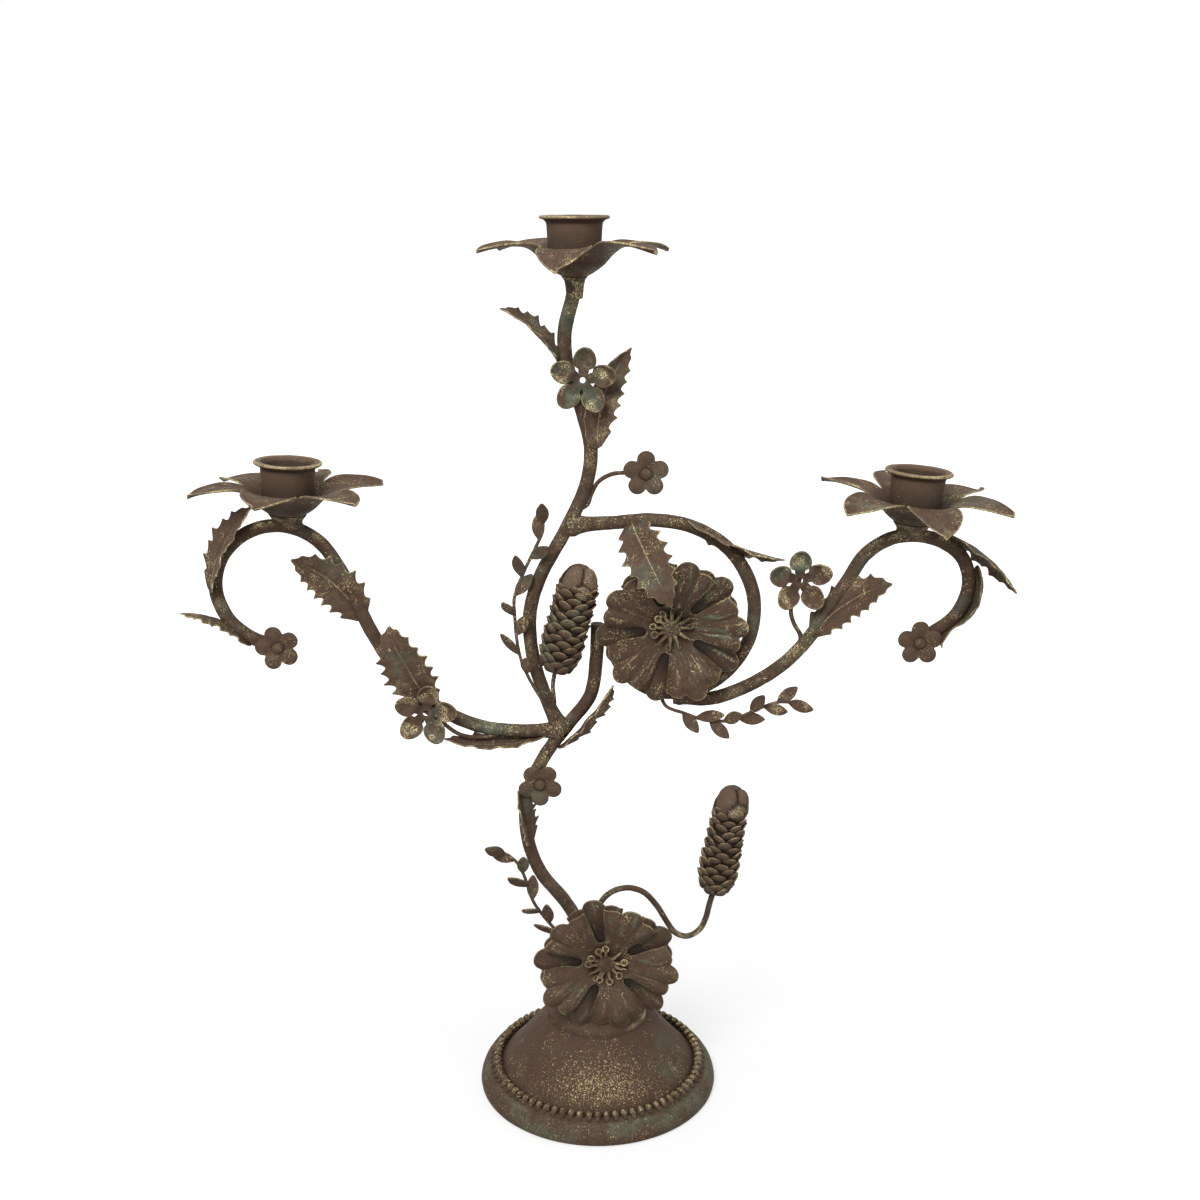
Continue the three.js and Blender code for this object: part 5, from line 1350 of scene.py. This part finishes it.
def make_cone(name, wire, lean, length, taper, buds):
    """A core painted wholly in shade under tiers of scales, with lumpy ones on top; taper narrows it towards
    its tip.
    """
    core_profile = [
        (0, 0.3), (7, 0.5), (8.6, 2.6), (9, 10), (9.2, 0.4 * length), (8.8, 0.75 * length),
        (7.6, length - 9), (5, length - 6), (0, length - 4)]
    # The core takes full painted shade, so the gaps between the scales read dark.
    parts = [mark(turned(name + "_core", rounded(core_profile, 2, 3), 24), wear=0, hollow=1)]
    pattern = lens_scale("lens_pattern")
    pitch = (length - BARE_TOP) / SCALE_TIERS
    for tier in range(SCALE_TIERS):
        up = SCALES_START + pitch * tier
        girth = level(CONE_GIRTH, up / length)
        for at in range(SCALES_ROUND):
            seed = tier * 7.3 + at * 2.9 + len(name)
            turn = 360 / SCALES_ROUND * (at + 0.5 * (tier % 2)) + 4 * sin(seed)
            stand = (
                move((0, 0, up + 0.8 * sin(seed * 1.7))) @ spin(turn, "Z")
                @ Matrix.Diagonal((girth, girth, 1 + 0.14 * sin(seed * 2.1), 1))
                @ spin(12 * sin(seed * 3.1), "X")
            )
            parts.append(placed(pattern, f"{name}_{tier}_{at}", stand))
    bpy.data.objects.remove(pattern)
    parts += bud_scales(name, length, buds)
    whole = joined(name + "_scales", parts)
    for vertex in whole.data.vertices:
        narrow = 1 - taper * min(1, max(0, vertex.co.z / length))
        vertex.co = (vertex.co.x * narrow, vertex.co.y * narrow, min(length + 0.4, max(0, vertex.co.z)))
    stand = move(wire.at(1) + leaning(lean) * FIT) @ spin(lean, "Y")
    settle(whole, "gilded_iron", cone_finish, name, angle=50, stand=stand)


# The scales on a cone's top: where each one faces, how far out and how far below the tip it lies,
# its half depth, width and height, how it leans and rolls, and its share of gold
UPPER_BUDS = [
    (-138, 4.6, 9.2, 5.2, 6.4, 8.8, -8, -6, 0.1), (-30, 5, 8, 4.8, 6, 7.8, -12, 6, 0.3),
    (100, 4, 8, 5.6, 8, 7.6, -6, 0, 0), (176, 6.2, 10, 4, 5, 8, -12, 0, 0),
    (-168, 8.2, 12, 2.2, 3, 6.4, -10, 12, 0), (-68, 8, 12.6, 3.2, 4.5, 4.4, -6, 0, 0.25),
    (20, 7.4, 11.5, 3.2, 4.6, 6.6, -10, 0, 0),
]
LOWER_BUDS = [
    (-140, 4.8, 8.6, 6.2, 8, 8.6, -8, 0, 0), (-66, 8, 10.6, 3.6, 7.2, 4.3, -14, 24, 0.4),
    (-20, 6, 7.6, 5.2, 6.6, 7.4, -10, 0, 0), (90, 4.4, 8, 6, 9, 7.8, -6, 0, 0),
    (178, 7.4, 11, 4, 5, 7.2, -10, 0, 0), (15, 8.4, 11, 3.4, 5, 7, -10, 0, 0),
]


make_dome()
make_beads()
make_rods()
make_holders()
make_flowers()
make_leaves()
make_sprigs()
make_cone("upper_cone", wires["upper_cone_wire"], 15, 58, 0.02, UPPER_BUDS)
make_cone("lower_cone", wires["lower_cone_wire"], 9.5, 61, 0.2, LOWER_BUDS)
nut = frame["nodes"]["stem_nut"]
nut.data.materials.clear()
nut.data.materials.append(rod_finish)


# Studio

WORLD_LIGHT = 0.36
FLOOR_SIZE = 40
FLOOR_DROP = 0.0003
FLOOR_GREY = 0.45
# The floor's glow grows from one strength near the part to another far from it, in metres
FLOOR_GLOW, FAR_GLOW = 0.6, 1.1
GLOW_NEAR, GLOW_FAR = 0.08, 0.6
# Each lamp: its place, its size in metres and its watts
LAMPS = {
    "key": ((-0.45, -1.25, 1.45), 0.8, 21),
    "overhead": ((0.1, 0.1, 1.9), 1.2, 7),
    "fill": ((1.2, -1.0, 0.8), 1.0, 2.5),
}
LAMP_AIM = Vector((0, 0, 0.25))
CAMERA_PLACE = (0.0012, -0.742, 0.49)
CAMERA_PITCH = 15.6
CAMERA_LENS = 44.25


def seen_directly(paint):
    """1 for camera, glossy and transmission rays, and 0 for all others."""
    rays = paint.node("ShaderNodeLightPath").outputs
    seen = rays["Is Camera Ray"]
    for other in ("Is Glossy Ray", "Is Transmission Ray"):
        seen = paint.sum("MAXIMUM", seen, rays[other])
    return seen


def pale_sky():
    """White to the camera, and dimmer as a light."""
    world = bpy.data.worlds.new("studio")
    paint = Paint(world)
    strength = paint.node("ShaderNodeMapRange", None, {
        "Value": seen_directly(paint), "To Min": WORLD_LIGHT, "To Max": 1.0,
    }).outputs["Result"]
    sky = paint.node("ShaderNodeBackground", None, {"Color": (1, 1, 1, 1), "Strength": strength})
    paint.node("ShaderNodeOutputWorld", None, {"Surface": sky.outputs[0]})
    return world


def pale_floor():
    """Matt grey that takes shadows, under a glow that only the camera sees."""
    material = bpy.data.materials.new("pale_floor")
    paint = Paint(material)
    away = paint.node("ShaderNodeVectorMath", {"operation": "LENGTH"}, {0: paint.place}).outputs["Value"]
    growing = paint.node("ShaderNodeMapRange", {"interpolation_type": "SMOOTHSTEP"}, {
        "Value": away, "From Min": GLOW_NEAR, "From Max": GLOW_FAR, "To Min": FLOOR_GLOW, "To Max": FAR_GLOW,
    }).outputs["Result"]
    grey = (FLOOR_GREY, FLOOR_GREY, FLOOR_GREY, 1)
    matt = paint.node("ShaderNodeBsdfDiffuse", None, {"Color": grey})
    glow = paint.node("ShaderNodeEmission", None, {"Strength": paint.both(seen_directly(paint), growing)})
    both = paint.node("ShaderNodeAddShader", None, {0: matt.outputs[0], 1: glow.outputs[0]})
    paint.node("ShaderNodeOutputMaterial", None, {"Surface": both.outputs[0]})
    return material


def make_studio():
    scene = bpy.context.scene
    scene.world = pale_sky()
    bpy.ops.object.select_all(action="DESELECT")
    bpy.ops.mesh.primitive_plane_add(size=FLOOR_SIZE, location=(0, 0, -FLOOR_DROP))
    floor = bpy.context.object
    floor.name = "floor"
    floor.data.materials.append(pale_floor())

    for name, (place, size, watts) in LAMPS.items():
        data = bpy.data.lights.new(name, "AREA")
        data.shape = "DISK"
        data.size = size
        data.energy = watts
        lamp = bpy.data.objects.new(name, data)
        scene.collection.objects.link(lamp)
        lamp.location = place
        lamp.rotation_euler = (LAMP_AIM - Vector(place)).to_track_quat("-Z", "Y").to_euler()

    data = bpy.data.cameras.new("camera")
    data.sensor_width = 36
    data.lens = CAMERA_LENS
    data.clip_start = 0.05
    camera = bpy.data.objects.new("camera", data)
    scene.collection.objects.link(camera)
    camera.location = CAMERA_PLACE
    camera.rotation_euler = (radians(90 - CAMERA_PITCH), 0, 0)
    scene.camera = camera
    scene.view_settings.view_transform = "Standard"


make_studio()
